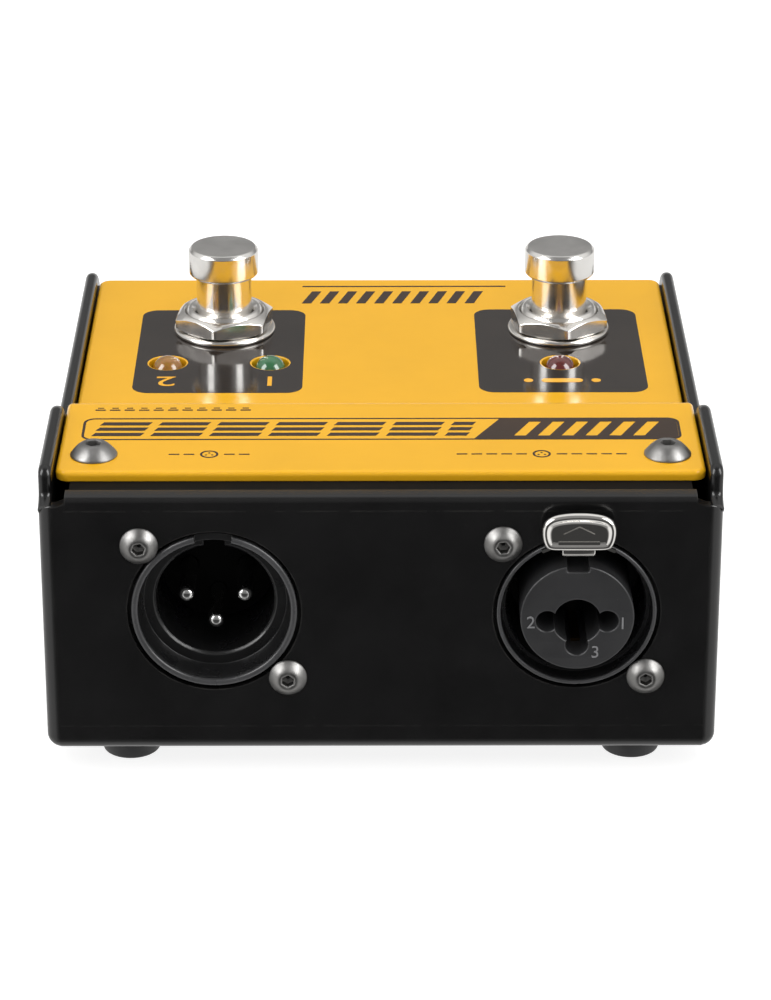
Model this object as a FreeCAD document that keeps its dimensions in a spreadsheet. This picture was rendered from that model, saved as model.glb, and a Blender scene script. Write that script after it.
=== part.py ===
# Two-switch foot box of the direct-injection family: a folded steel chassis with a
# folded steel cover, two footswitches, three lamps, one male three-pole socket and one
# combined three-pole / quarter-inch socket with a release latch.
#
# Case coordinates used below: x across the box, y from the connector face (y = 0)
# towards the user's side, z up from the underside of the chassis floor (z = 0).
# Every piece is then placed so that the origin is the bottom centre of the whole box:
# shifted by -mid_depth in y and by foot_height in z.  Millimetres, +Z up.
import FreeCAD, Part
import math
import os
import Sketcher

V = FreeCAD.Vector
doc = FreeCAD.newDocument("FootBox")

# ---------------------------------------------------------------- driving dimensions
DIMENSIONS = [
    ("case_width", 95.25, "outer width across the side walls"),
    ("case_depth", 101.6, "connector face to user's side wall, outside"),
    ("sheet", 1.9, "chassis sheet thickness"),
    ("bend_out", 2.1, "outer bend radius"),
    ("bend_in", 0.6, "inner bend radius"),
    ("face_top", 39.5, "top of the connector face and its flange"),
    ("strip_wall_top", 42.9, "side wall top beside the raised strip"),
    ("panel_wall_top", 36.54, "side wall top beside the switch panel"),
    ("wall_slope_near", 26.1, "where the side wall starts to drop"),
    ("wall_slope_far", 34.1, "where the side wall's drop ends"),
    ("wall_set_back", 2.3, "side wall front edge above the face's corner"),
    ("corner_cut_low", 38.1, "height at which the face's top corners are cut away"),
    ("corner_cut_half", 43.9, "half width of the face between its cut top corners"),
    ("front_flange", 17.0, "reach of the front flange under the cover"),
    ("rear_flange", 13.6, "reach of the rear flange under the cover"),
    ("flange_half", 43.4, "half width of both flanges"),
    ("cover_width", 91.05, "cover width"),
    ("cover_sheet", 1.5, "cover thickness"),
    ("strip_top", 41.0, "top of the raised strip"),
    ("panel_top", 34.64, "top of the switch panel"),
    ("cover_near", 5.5, "cover's near edge"),
    ("cover_far", 98.8, "cover's far edge"),
    ("cover_slope_near", 30.7, "where the cover's slope starts"),
    ("cover_slope_far", 38.7, "where the cover's slope ends"),
    ("cover_screw_half", 40.45, "cover screws to centre"),
    ("cover_screw_depth", 11.55, "cover screws to the connector face"),
    ("latch_proud", 2.6, "release tab in front of the connector face"),
    ("foot_height", 4.2, "rubber foot height"),
    ("foot_half", 36.15, "feet to centre"),
    ("foot_near", 9.5, "near feet to the connector face"),
    ("foot_far", 92.1, "far feet to the connector face"),
    ("foot_radius", 4.9, "rubber foot radius at the floor"),
    ("male_across", -23.4, "male socket axis, across"),
    ("male_up", 22.05, "male socket axis, height"),
    ("combo_across", 27.45, "combined socket axis, across"),
    ("combo_up", 21.8, "combined socket axis, height"),
    ("jack_drop", 0.57, "quarter-inch hole below the combined socket's axis"),
    ("jack_radius", 3.33, "quarter-inch hole radius"),
    ("male_hole", 12.2, "face cut-out radius at the male socket"),
    ("combo_hole", 11.75, "face cut-out radius at the combined socket"),
    ("cup_radius", 8.35, "male socket cup radius"),
    ("left_across", -24.4, "left footswitch, across"),
    ("right_across", 28.1, "right footswitch, across"),
    ("switch_depth", 76.2, "footswitches to the connector face"),
    ("stem_radius", 4.3, "plunger stem radius"),
    ("stem_play", 0.05, "radial play of the stem in its bushing"),
    ("cap_radius", 5.42, "plunger cap radius"),
    ("cap_top", 48.6, "plunger cap top"),
    ("cap_low", 44.1, "plunger cap underside"),
    ("thread_radius", 6.0, "bushing thread radius"),
    ("nut_flats", 14.0, "hexagon nut across flats"),
    ("washer_radius", 8.0, "washer radius"),
    ("switch_side", 17.2, "switch body side"),
    ("switch_low", 12.5, "switch body underside"),
    ("switch_high", 26.5, "switch body top"),
    ("lamp_near", 62.1, "lamps to the connector face"),
    ("lamp_green", -16.9, "green lamp, across"),
    ("lamp_amber", -32.7, "amber lamp, across"),
    ("lamp_red", 27.75, "red lamp, across"),
    ("lamp_radius", 2.45, "lamp body radius"),
    ("lamp_hole", 2.85, "lamp hole radius"),
    ("lamp_top", 35.75, "top of the lamp's dome"),
    ("board_low", 5.4, "circuit board underside"),
    ("board_thick", 1.6, "circuit board thickness"),
]


class Q:
    """A number and the expression on the sheet that gives it."""

    def __init__(self, value, text):
        self.v = float(value)
        self.t = text

    @staticmethod
    def of(other):
        return other if isinstance(other, Q) else Q(other, "%.6g" % other if other >= 0 else "(%.6g)" % other)

    def __add__(self, other):
        other = Q.of(other)
        return Q(self.v + other.v, "(%s + %s)" % (self.t, other.t))

    __radd__ = __add__

    def __sub__(self, other):
        other = Q.of(other)
        return Q(self.v - other.v, "(%s - %s)" % (self.t, other.t))

    def __rsub__(self, other):
        return Q.of(other) - self

    def __mul__(self, other):
        other = Q.of(other)
        return Q(self.v * other.v, "(%s * %s)" % (self.t, other.t))

    __rmul__ = __mul__

    def __truediv__(self, other):
        other = Q.of(other)
        return Q(self.v / other.v, "(%s / %s)" % (self.t, other.t))

    def __neg__(self):
        return Q(-self.v, "(0 - %s)" % self.t)


sheet = doc.addObject("Spreadsheet::Sheet", "Dims")


class D:
    """The driving dimensions by name."""


for line, (alias, value, note) in enumerate(DIMENSIONS, 1):
    sheet.set("A%d" % line, note)
    sheet.set("B%d" % line, repr(value))
    sheet.setAlias("B%d" % line, alias)
    setattr(D, alias, Q(value, "Dims.%s" % alias))
doc.recompute()

MID = (D.case_depth - D.latch_proud) / 2
ZERO = Q(0, "0")


def place(thing, x=0, y=0, z=0):
    """Put a piece, given in case coordinates, into the frame of the whole box."""
    x, y, z = Q.of(x), Q.of(y) - MID, Q.of(z) + D.foot_height
    thing.Placement = FreeCAD.Placement(V(x.v, y.v, z.v), thing.Placement.Rotation)
    thing.setExpression("Placement.Base.x", x.t)
    thing.setExpression("Placement.Base.y", y.t)
    thing.setExpression("Placement.Base.z", z.t)
    return thing


def spot(thing, x=0, y=0, z=0):
    """Place a primitive that a boolean uses, in the boolean's own coordinates."""
    for axis, value in zip("xyz", (x, y, z)):
        value = Q.of(value)
        if value.v or value.t != "0":
            thing.setExpression("Placement.Base." + axis, value.t)
    thing.Placement = FreeCAD.Placement(V(Q.of(x).v, Q.of(y).v, Q.of(z).v), thing.Placement.Rotation)
    return thing


# ------------------------------------------------------------------- sketch helpers
def bind(sketch, constraint, value):
    index = sketch.addConstraint(constraint)
    sketch.setExpression("Constraints[%d]" % index, value.t)


def pin_point(sketch, geo, end, x, y):
    x, y = Q.of(x), Q.of(y)
    if abs(x.v) < 1e-9:
        sketch.addConstraint(Sketcher.Constraint("PointOnObject", geo, end, -2))
    else:
        bind(sketch, Sketcher.Constraint("DistanceX", -1, 1, geo, end, x.v), x)
    if abs(y.v) < 1e-9:
        sketch.addConstraint(Sketcher.Constraint("PointOnObject", geo, end, -1))
    else:
        bind(sketch, Sketcher.Constraint("DistanceY", -1, 1, geo, end, y.v), y)


def new_sketch(body, role, up=None):
    sk = body.newObject("Sketcher::SketchObject", "Sketch")
    plane = [f for f in body.Origin.OriginFeatures if f.Role == role][0]
    sk.AttachmentSupport = [(plane, "")]
    sk.MapMode = "FlatFace"
    if up is not None:
        up = Q.of(up)
        sk.AttachmentOffset = FreeCAD.Placement(V(0, 0, up.v), FreeCAD.Rotation())
        sk.setExpression("AttachmentOffset.Base.z", up.t)
    return sk


def polygon(sk, points):
    """Closed outline. A point is (x, y) or (x, y, r): with r, an arc of radius |r|
    joins it to the next point, centre to the left of travel when r > 0."""
    n = len(points)
    first = None
    geos = []
    for i, p in enumerate(points):
        q = points[(i + 1) % n]
        a = V(Q.of(p[0]).v, Q.of(p[1]).v, 0)
        b = V(Q.of(q[0]).v, Q.of(q[1]).v, 0)
        if len(p) == 3:
            r = Q.of(p[2])
            chord = b - a
            mid = (a + b) * 0.5
            h = math.sqrt(max(r.v * r.v - chord.Length ** 2 / 4, 0))
            left = V(-chord.y, chord.x, 0)
            left.normalize()
            c = mid + left * (h if r.v > 0 else -h)
            a0 = math.atan2(a.y - c.y, a.x - c.x)
            a1 = math.atan2(b.y - c.y, b.x - c.x)
            circle = Part.Circle(c, V(0, 0, 1), abs(r.v))
            if r.v > 0:
                geos.append((sk.addGeometry(Part.ArcOfCircle(circle, a0, a1), False), 1, 2, r))
            else:
                geos.append((sk.addGeometry(Part.ArcOfCircle(circle, a1, a0), False), 2, 1, r))
        else:
            geos.append((sk.addGeometry(Part.LineSegment(a, b), False), 1, 2, None))
    for i in range(n):
        g, s, e, r = geos[i]
        g2, s2, e2, r2 = geos[(i + 1) % n]
        sk.addConstraint(Sketcher.Constraint("Coincident", g, e, g2, s2))
    for i, p in enumerate(points):
        g, s, e, r = geos[i]
        pin_point(sk, g, s, p[0], p[1])
        if r is not None:
            size = r if r.v > 0 else -r
            bind(sk, Sketcher.Constraint("Radius", g, size.v), size)


def circle(sk, x, y, r):
    x, y, r = Q.of(x), Q.of(y), Q.of(r)
    g = sk.addGeometry(Part.Circle(V(x.v, y.v, 0), V(0, 0, 1), r.v), False)
    pin_point(sk, g, 3, x, y)
    bind(sk, Sketcher.Constraint("Radius", g, r.v), r)


def body_named(name):
    body = doc.addObject("PartDesign::Body", name)
    body.Label = name
    return body


def volume(body):
    doc.recompute()
    return body.Shape.Volume if not body.Shape.isNull() else 0.0


def pad(body, sk, length, mid=False, back=False):
    length = Q.of(length)
    f = body.newObject("PartDesign::Pad", "Pad")
    f.Profile = sk
    f.Length = length.v
    f.setExpression("Length", length.t)
    if mid:
        f.Midplane = True
    f.Reversed = back
    sk.Visibility = False
    doc.recompute()
    return f


def pocket(body, sk, length, back=False, mid=False):
    """A cut that must take something away. With back, it runs towards +Z or +Y."""
    length = Q.of(length)
    before = volume(body)
    f = body.newObject("PartDesign::Pocket", "Pocket")
    f.Profile = sk
    f.Length = length.v
    f.setExpression("Length", length.t)
    if mid:
        f.Midplane = True
    facing = sk.AttachmentSupport[0][0].Role == "XZ_Plane"
    f.Reversed = (not back) if facing else back
    doc.recompute()
    after = volume(body)
    if not after < before - 1e-4:
        raise RuntimeError("pocket in %s cut nothing (%.4f to %.4f)" % (body.Label, before, after))
    return f


def revolve(body, sk):
    f = body.newObject("PartDesign::Revolution", "Revolution")
    f.Profile = sk
    f.ReferenceAxis = (sk, ["V_Axis"])
    f.Angle = 360.0
    doc.recompute()
    return f


def edges_where(feature, test):
    names = []
    for i, e in enumerate(feature.Shape.Edges, 1):
        try:
            m = e.valueAt((e.FirstParameter + e.LastParameter) / 2)
            t = e.tangentAt((e.FirstParameter + e.LastParameter) / 2)
        except Exception:
            continue
        if test(m, t, e):
            names.append("Edge%d" % i)
    return names


def fillet(body, test, radius, kind="PartDesign::Fillet"):
    """Round (or chamfer) the edges of the body's tip that the test picks."""
    radius = Q.of(radius)
    base = body.Tip
    names = edges_where(base, test)
    if not names:
        raise RuntimeError("no edge to round in %s" % body.Label)
    f = body.newObject(kind, "Round")
    f.Base = (base, names)
    prop = "Radius" if kind.endswith("Fillet") else "Size"
    setattr(f, prop, radius.v)
    f.setExpression(prop, radius.t)
    doc.recompute()
    if "Invalid" in f.State or not f.Shape.isValid():
        raise RuntimeError("rounding failed in %s at %s" % (body.Label, radius.t))
    return f


def near(a, b, tol=0.02):
    return abs(a - Q.of(b).v) < tol


def turned(name, points, x=0, y=0, z=0, about="Z"):
    """A piece turned about Z (outline in radius, height) or about Y (radius, depth)."""
    body = body_named(name)
    sk = new_sketch(body, "XZ_Plane" if about == "Z" else "XY_Plane")
    polygon(sk, points)
    revolve(body, sk)
    place(body, x, y, z)
    return body


def hexagon(flats, turn=0.0):
    flats = Q.of(flats)
    r = flats * 0.577350269
    return [(r * round(math.cos(math.radians(turn + 60 * i)), 9),
             r * round(math.sin(math.radians(turn + 60 * i)), 9)) for i in range(6)]


def rect(x0, y0, x1, y1):
    return [(x0, y0), (x1, y0), (x1, y1), (x0, y1)]


# ---------------------------------------------------------------- primitive helpers
def box(dx, dy, dz, x=0, y=0, z=0):
    b = doc.addObject("Part::Box", "Box")
    for prop, value in (("Length", dx), ("Width", dy), ("Height", dz)):
        value = Q.of(value)
        setattr(b, prop, value.v)
        b.setExpression(prop, value.t)
    return spot(b, x, y, z)


ALONG = {"Z": FreeCAD.Rotation(), "Y": FreeCAD.Rotation(V(1, 0, 0), -90), "X": FreeCAD.Rotation(V(0, 1, 0), 90)}


def cylinder(r, length, x=0, y=0, z=0, along="Z"):
    c = doc.addObject("Part::Cylinder", "Cylinder")
    r, length = Q.of(r), Q.of(length)
    c.Radius = r.v
    c.setExpression("Radius", r.t)
    c.Height = length.v
    c.setExpression("Height", length.t)
    c.Placement = FreeCAD.Placement(V(0, 0, 0), ALONG[along])
    return spot(c, x, y, z)


def cone(r1, r2, length, x=0, y=0, z=0, along="Z"):
    c = doc.addObject("Part::Cone", "Cone")
    for prop, value in (("Radius1", r1), ("Radius2", r2), ("Height", length)):
        value = Q.of(value)
        setattr(c, prop, value.v)
        c.setExpression(prop, value.t)
    c.Placement = FreeCAD.Placement(V(0, 0, 0), ALONG[along])
    return spot(c, x, y, z)


def fuse(name, parts):
    f = doc.addObject("Part::MultiFuse", name)
    f.Shapes = parts
    f.Refine = True
    f.Label = name
    return f


def cut(name, base, tools):
    tool = tools[0] if len(tools) == 1 else fuse(name + "_tool", tools)
    c = doc.addObject("Part::Cut", name)
    c.Base = base
    c.Tool = tool
    c.Refine = True
    c.Label = name
    return c


def group(name, members):
    g = doc.addObject("Part::Compound", name)
    g.Links = members
    g.Label = name
    return g


NODES = {}


def node(thing):
    NODES[thing.Label] = thing
    return thing


HALF = D.case_width / 2

# ============================================================================ chassis
# Folded tray: floor, connector face with an inward flange on top, user's side wall with
# a lower inward flange, and two side walls whose tops follow the cover's step.
chassis = body_named("chassis")
sk = new_sketch(chassis, "YZ_Plane")
polygon(sk, [
    (ZERO, ZERO), (D.case_depth, ZERO), (D.case_depth, D.panel_wall_top),
    (D.wall_slope_far, D.panel_wall_top), (D.wall_slope_near, D.strip_wall_top), (ZERO, D.strip_wall_top),
])
pad(chassis, sk, D.case_width, mid=True)
# the side walls' tops round over their step
fillet(chassis, lambda m, t, e: abs(t.x) > 0.99 and near(m.y, D.wall_slope_near) and near(m.z, D.strip_wall_top), 6.0)
fillet(chassis, lambda m, t, e: abs(t.x) > 0.99 and near(m.y, D.wall_slope_far) and near(m.z, D.panel_wall_top), 4.0)
# outer bends
fillet(chassis, lambda m, t, e: (abs(t.z) > 0.99 and near(abs(m.x), HALF) and (near(m.y, 0) or near(m.y, D.case_depth)))
       or near(m.z, 0), D.bend_out)
# and round down at their far and near ends
end_round = Q.of(6.0)
sk = new_sketch(chassis, "YZ_Plane")
polygon(sk, [(D.case_depth - end_round, D.panel_wall_top, -end_round), (D.case_depth, D.panel_wall_top - end_round),
             (D.case_depth + 2, D.panel_wall_top - end_round), (D.case_depth + 2, D.panel_wall_top + 2), (D.case_depth - end_round, D.panel_wall_top + 2)])
pocket(chassis, sk, D.case_width + 2, mid=True)
near_round = Q.of(1.6)
sk = new_sketch(chassis, "YZ_Plane")
polygon(sk, [(D.wall_set_back, D.strip_wall_top - near_round, -near_round), (D.wall_set_back + near_round, D.strip_wall_top),
             (D.wall_set_back + near_round, D.strip_wall_top + 2), (-2.0, D.strip_wall_top + 2), (-2.0, D.strip_wall_top - near_round)])
pocket(chassis, sk, D.case_width + 2, mid=True)
# inside
sk = new_sketch(chassis, "XY_Plane", D.sheet)
inner = HALF - D.sheet
polygon(sk, rect(-inner, D.sheet, inner, D.case_depth - D.sheet))
pocket(chassis, sk, 60.0, back=True)
fillet(chassis, lambda m, t, e: (near(m.z, D.sheet) and (near(abs(m.x), inner) or near(m.y, D.sheet) or near(m.y, D.case_depth - D.sheet)))
       or (abs(t.z) > 0.99 and near(abs(m.x), inner) and (near(m.y, D.sheet) or near(m.y, D.case_depth - D.sheet))), D.bend_in)
# connector face: cut down to the flange between the side walls, with swept corner reliefs
sk = new_sketch(chassis, "XZ_Plane")
polygon(sk, [
    (-HALF - 1, D.corner_cut_low - 0.2), (-HALF + 1.4, D.corner_cut_low, ), (-D.corner_cut_half - 0.9, D.corner_cut_low + 0.25),
    (-D.corner_cut_half - 0.1, D.corner_cut_low + 0.75), (-D.corner_cut_half, D.face_top),
    (D.corner_cut_half, D.face_top), (D.corner_cut_half + 0.1, D.corner_cut_low + 0.75),
    (D.corner_cut_half + 0.9, D.corner_cut_low + 0.25), (HALF - 1.4, D.corner_cut_low), (HALF + 1, D.corner_cut_low - 0.2),
    (HALF + 1, D.strip_wall_top + 2), (-HALF - 1, D.strip_wall_top + 2),
])
pocket(chassis, sk, D.wall_set_back, back=True)
# user's side wall: cut down to its flange
rear_top = D.panel_top - D.cover_sheet
sk = new_sketch(chassis, "XZ_Plane", -D.case_depth)
polygon(sk, rect(-inner, rear_top, inner, D.panel_wall_top + 4))
pocket(chassis, sk, 2.3, back=False)
# flanges
sk = new_sketch(chassis, "XY_Plane", D.face_top - D.sheet)
polygon(sk, rect(-D.flange_half, 1.0, D.flange_half, D.front_flange))
pad(chassis, sk, D.sheet)
sk = new_sketch(chassis, "XY_Plane", rear_top - D.sheet)
polygon(sk, rect(-D.flange_half, D.case_depth - D.rear_flange, D.flange_half, D.case_depth - 1.0))
pad(chassis, sk, D.sheet)
# the bends where both flanges leave their walls, cut as quarter rounds between the side walls
sk = new_sketch(chassis, "YZ_Plane")
b = D.bend_out
polygon(sk, [(-1.0, D.face_top - b), (ZERO, D.face_top - b, -b), (b, D.face_top), (b, D.face_top + 1), (-1.0, D.face_top + 1)])
pocket(chassis, sk, 2 * (HALF - D.sheet) - 0.2, mid=True)
sk = new_sketch(chassis, "YZ_Plane")
far = D.case_depth
polygon(sk, [(far + 1, rear_top - b), (far + 1, rear_top + 1), (far - b, rear_top + 1), (far - b, rear_top, -b), (far, rear_top - b)])
pocket(chassis, sk, 2 * D.corner_cut_half, mid=True)
# socket cut-outs and screw holes in the face
SCREWS = [(-33.7, 32.2), (-13.15, 11.75), (17.0, 32.4), (37.35, 11.9)]
sk = new_sketch(chassis, "XZ_Plane")
circle(sk, D.male_across, D.male_up, D.male_hole)
circle(sk, D.combo_across, D.combo_up, D.combo_hole)
for x, z in SCREWS:
    circle(sk, x, z, 1.6)
pocket(chassis, sk, D.sheet + 0.1, back=True)
# room above the combined socket for the latch's neck to lift
sk = new_sketch(chassis, "XZ_Plane")
polygon(sk, rect(D.combo_across - 4.3, D.combo_up + 9.0, D.combo_across + 4.3, D.combo_up + 12.9))
pocket(chassis, sk, D.sheet + 0.1, back=True)
# relief at the face's bottom corners
sk = new_sketch(chassis, "XZ_Plane")
circle(sk, -(HALF - 0.2), -0.2, 3.3)
circle(sk, HALF - 0.2, -0.2, 3.3)
pocket(chassis, sk, 0.9, back=True)
# holes: cover nuts in the flange, feet in the floor
sk = new_sketch(chassis, "XY_Plane", D.face_top - D.sheet - 0.5)
for side in (-1, 1):
    circle(sk, D.cover_screw_half * side, D.cover_screw_depth, 2.3)
pocket(chassis, sk, D.sheet + 1.5, back=True)
sk = new_sketch(chassis, "XY_Plane", Q(-1, "(0 - 1)"))
for side in (-1, 1):
    for y in (D.foot_near, D.foot_far):
        circle(sk, D.foot_half * side, y, 1.6)
pocket(chassis, sk, D.sheet + 1.5, back=True)
place(chassis)
node(chassis)

# ========================================================================== top cover
cover = body_named("top_cover")
sk = new_sketch(cover, "YZ_Plane")
ct = D.cover_sheet
polygon(sk, [
    (D.cover_near, D.strip_top - ct), (D.cover_slope_near - 0.5, D.strip_top - ct), (D.cover_slope_far - 0.5, D.panel_top - ct),
    (D.cover_far, D.panel_top - ct), (D.cover_far, D.panel_top), (D.cover_slope_far, D.panel_top),
    (D.cover_slope_near, D.strip_top), (D.cover_near, D.strip_top),
])
pad(cover, sk, D.cover_width, mid=True)
fillet(cover, lambda m, t, e: abs(t.x) > 0.99 and near(m.y, D.cover_slope_near) and near(m.z, D.strip_top), 1.6)
fillet(cover, lambda m, t, e: abs(t.x) > 0.99 and near(m.y, D.cover_slope_far) and near(m.z, D.panel_top), 1.6)
fillet(cover, lambda m, t, e: abs(t.z) > 0.99 and near(abs(m.x), D.cover_width / 2)
       and (near(m.y, D.cover_near) or near(m.y, D.cover_far)), 1.8)
fillet(cover, lambda m, t, e: (abs(t.x) > 0.99 and near(m.z, D.strip_top) and near(m.y, D.cover_near))
       or (abs(t.x) > 0.99 and near(m.z, D.panel_top) and near(m.y, D.cover_far)), 0.7)
# hook tabs that slide under the rear flange
for side in (-1, 1):
    sk = new_sketch(cover, "YZ_Plane", 40.5 * side)
    low = D.panel_top - ct
    polygon(sk, [(83.5, low + 0.4), (83.5, low - 3.55), (94.0, low - 3.55), (94.0, low - 2.05), (87.4, low - 2.05), (87.4, low + 0.4)])
    pad(cover, sk, 8.0, mid=True)
# holes
sk = new_sketch(cover, "XY_Plane", 25.0)
for side in (-1, 1):
    circle(sk, D.cover_screw_half * side, D.cover_screw_depth, 1.9)
for x in (D.left_across, D.right_across):
    circle(sk, x, D.switch_depth, D.thread_radius + 0.1)
for x in (D.lamp_green, D.lamp_amber, D.lamp_red):
    circle(sk, x, D.lamp_near, D.lamp_hole)
pocket(cover, sk, 30.0, back=True)
place(cover)
node(cover)


# ============================================================================= screws
def button_screw(name, head_r, head_h, socket, shank_r, shank, about, x, y, z):
    """Button-head screw with a hexagon socket; the head stands out along -Y or +Z."""
    s = -1 if about == "Y" else 1
    body = body_named(name)
    sk = new_sketch(body, "XY_Plane" if about == "Y" else "XZ_Plane")
    top = 0.62 * head_r
    rad = ((head_r - top) ** 2 + head_h ** 2) / (2 * head_h) * 1.35
    arc = rad if about == "Z" else -rad
    if about == "Z":
        polygon(sk, [(ZERO, -shank), (shank_r, -shank), (shank_r, ZERO), (head_r, ZERO), (head_r, 0.25, arc), (top, head_h), (ZERO, head_h)])
    else:
        polygon(sk, [(ZERO, shank), (shank_r, shank), (shank_r, ZERO), (head_r, ZERO), (head_r, -0.25, arc), (top, -head_h), (ZERO, -head_h)])
    revolve(body, sk)
    depth = head_h * 0.62
    if about == "Z":
        sk = new_sketch(body, "XY_Plane", head_h - depth)
        polygon(sk, hexagon(socket, 15))
        pocket(body, sk, depth + 1, back=True)
    else:
        sk = new_sketch(body, "XZ_Plane", head_h - depth)
        polygon(sk, hexagon(socket, 10))
        pocket(body, sk, depth + 1, back=True)
    place(body, x, y, z)
    return body


node(group("cover_screws", [
    button_screw("cover_screw_%d" % i, 3.33, 1.9, 1.98, 1.7, 9.0, "Z", D.cover_screw_half * s, D.cover_screw_depth, D.strip_top)
    for i, s in enumerate((-1, 1))]))
node(group("cover_nuts", [
    turned("cover_nut_%d" % i, [(1.75, -2.6), (3.1, -2.6), (3.1, ZERO), (2.25, ZERO), (2.25, D.sheet - 0.05), (1.75, D.sheet - 0.05)],
           D.cover_screw_half * s, D.cover_screw_depth, D.face_top - D.sheet)
    for i, s in enumerate((-1, 1))]))
node(group("connector_screws", [
    button_screw("connector_screw_%d" % i, 2.7, 1.5, 1.6, 1.4, 8.0, "Y", x, ZERO, z)
    for i, (x, z) in enumerate(SCREWS)]))

# ======================================================================== male socket
# Cup with a rim that sits in the face's cut-out, a square flange behind the sheet, and a
# key slot at the top.
BACK = D.sheet + 0.05


def socket_housing(name, across, up, front, rim_out, lip, ledge, throat, throat_at, bore, length, tail):
    body = body_named(name)
    sk = new_sketch(body, "XY_Plane")
    polygon(sk, [(bore, length), (tail, length), (tail, BACK), (rim_out, BACK), (rim_out, front + 0.25), (rim_out - 0.25, front),
                 (lip, front), (lip - 0.15, front + 0.8), (ledge, throat_at), (throat, throat_at), (bore, throat_at + 0.4)])
    revolve(body, sk)
    return body


male = socket_housing("male_socket_housing", D.male_across, D.male_up, 0.2, 11.65, 10.77, 10.1, 8.75, 3.9, D.cup_radius, 19.0, 11.3)
sk = new_sketch(male, "XZ_Plane", -BACK)
polygon(sk, rect(-13.0, -13.0, 13.0, 13.0))
circle(sk, ZERO, ZERO, 11.25)
for x, z in SCREWS[:2]:
    circle(sk, x - D.male_across, z - D.male_up, 1.45)
pad(male, sk, 4.0, back=True)
fillet(male, lambda m, t, e: abs(t.y) > 0.99 and near(abs(m.x), 13.0) and near(abs(m.z), 13.0), 3.0)
sk = new_sketch(male, "XZ_Plane")
polygon(sk, rect(-2.6, 7.0, 2.6, 12.0))
pocket(male, sk, 1.0, back=True)
sk = new_sketch(male, "XZ_Plane")
polygon(sk, rect(-1.5, 7.0, 1.5, 9.5))
pocket(male, sk, 15.0, back=True)
place(male, D.male_across, ZERO, D.male_up)
node(male)

PINS = [(-4.1, 0.0), (4.1, 0.0), (0.0, -4.1)]
insert = body_named("male_socket_insert")
sk = new_sketch(insert, "XZ_Plane", Q(-16.0, "(0 - 16)"))
circle(sk, ZERO, ZERO, D.cup_radius - 0.04)
for x, z in PINS:
    circle(sk, x, z, 1.24)
pad(insert, sk, 3.4, back=True)
place(insert, D.male_across, ZERO, D.male_up)
node(insert)

board_top = D.board_low + D.board_thick


def pin(name, x, z, tip_y, across, up):
    """Contact pin with a rounded tip and a tail bent down to the circuit board."""
    pieces = [
        cylinder(1.2, 22.2 - tip_y - 0.6, x, tip_y + 0.6, z, along="Y"),
        cone(0.75, 1.2, 0.6, x, tip_y, z, along="Y"),
        cylinder(0.55, Q.of(z) + up - board_top, x, 21.5, board_top - up),
    ]
    return place(fuse(name, pieces), across, ZERO, up)


node(group("male_socket_pins", [pin("male_pin_%d" % i, x, z, 5.0, D.male_across, D.male_up) for i, (x, z) in enumerate(PINS)]))

# ==================================================================== combined socket
combo = socket_housing("combo_socket_housing", D.combo_across, D.combo_up, 0.1, 11.2, 10.7, 10.4, 9.95, 2.6, 9.8, 16.0, 11.3)
# rear block that carries the insert
sk = new_sketch(combo, "XZ_Plane", Q(-16.0, "(0 - 16)"))
polygon(sk, rect(-11.5, -12.5, 11.5, 11.0))
circle(sk, ZERO, ZERO, 8.05)
pad(combo, sk, 15.0, back=True)
fillet(combo, lambda m, t, e: abs(t.y) > 0.99 and near(abs(m.x), 11.5) and (near(m.z, -12.5) or near(m.z, 11.0)), 1.5)
sk = new_sketch(combo, "XZ_Plane", -BACK)
polygon(sk, rect(-13.0, -13.0, 13.0, 13.0))
circle(sk, ZERO, ZERO, 11.25)
for x, z in SCREWS[2:]:
    circle(sk, x - D.combo_across, z - D.combo_up, 1.45)
pad(combo, sk, 4.0, back=True)
fillet(combo, lambda m, t, e: abs(t.y) > 0.99 and near(abs(m.x), 13.0) and near(abs(m.z), 13.0), 3.0)
# slot for the release latch, cut down into the ring, and the latch pin's holes
sk = new_sketch(combo, "XZ_Plane", 1.0)
polygon(sk, rect(-5.3, 8.2, 5.3, 14.0))
pocket(combo, sk, 10.0, back=True)
sk = new_sketch(combo, "YZ_Plane")
circle(sk, 4.1, 11.15, 0.86)
pocket(combo, sk, 16.0, mid=True)
place(combo, D.combo_across, ZERO, D.combo_up)
node(combo)

FRONT = -1.8
jack = body_named("combo_socket_insert")
sk = new_sketch(jack, "XZ_Plane", Q(1.8, "1.8"))
circle(sk, ZERO, ZERO, 8.0)
pad(jack, sk, 32.6, back=True)
fillet(jack, lambda m, t, e: near(m.y, FRONT), 0.35)
sk = new_sketch(jack, "XZ_Plane", 3.0)
circle(sk, ZERO, -D.jack_drop, D.jack_radius)
pocket(jack, sk, 32.5, back=True)
LOBES = [(-4.2, -0.57), (4.2, -0.57), (0.0, -4.22)]
for x, z in LOBES:
    sk = new_sketch(jack, "XZ_Plane", 3.0)
    circle(sk, x, z, 1.57)
    pocket(jack, sk, 15.0, back=True)
# key slot at the top of the disc
sk = new_sketch(jack, "XZ_Plane", 3.0)
polygon(sk, rect(-1.55, 7.0, 1.55, 9.0))
pocket(jack, sk, 15.0, back=True)
# slots that the three pole contacts run back through
sk = new_sketch(jack, "XZ_Plane", -11.0)
polygon(sk, rect(-5.75, -1.3, -5.15, 0.16))
polygon(sk, rect(5.15, -1.3, 5.75, 0.16))
polygon(sk, rect(-0.73, -5.75, 0.73, -5.15))
pocket(jack, sk, 22.0, back=True)
# windows of the three quarter-inch contact springs, open to the bore
sk = new_sketch(jack, "XZ_Plane", -19.0)
polygon(sk, rect(-1.0, 2.0, 1.0, 7.0))
pocket(jack, sk, 4.0, back=True)
sk = new_sketch(jack, "XZ_Plane", -25.0)
polygon(sk, rect(-1.0, 2.0, 1.0, 7.0))
pocket(jack, sk, 4.0, back=True)
place(jack, D.combo_across, ZERO, D.combo_up)
node(jack)

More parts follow.
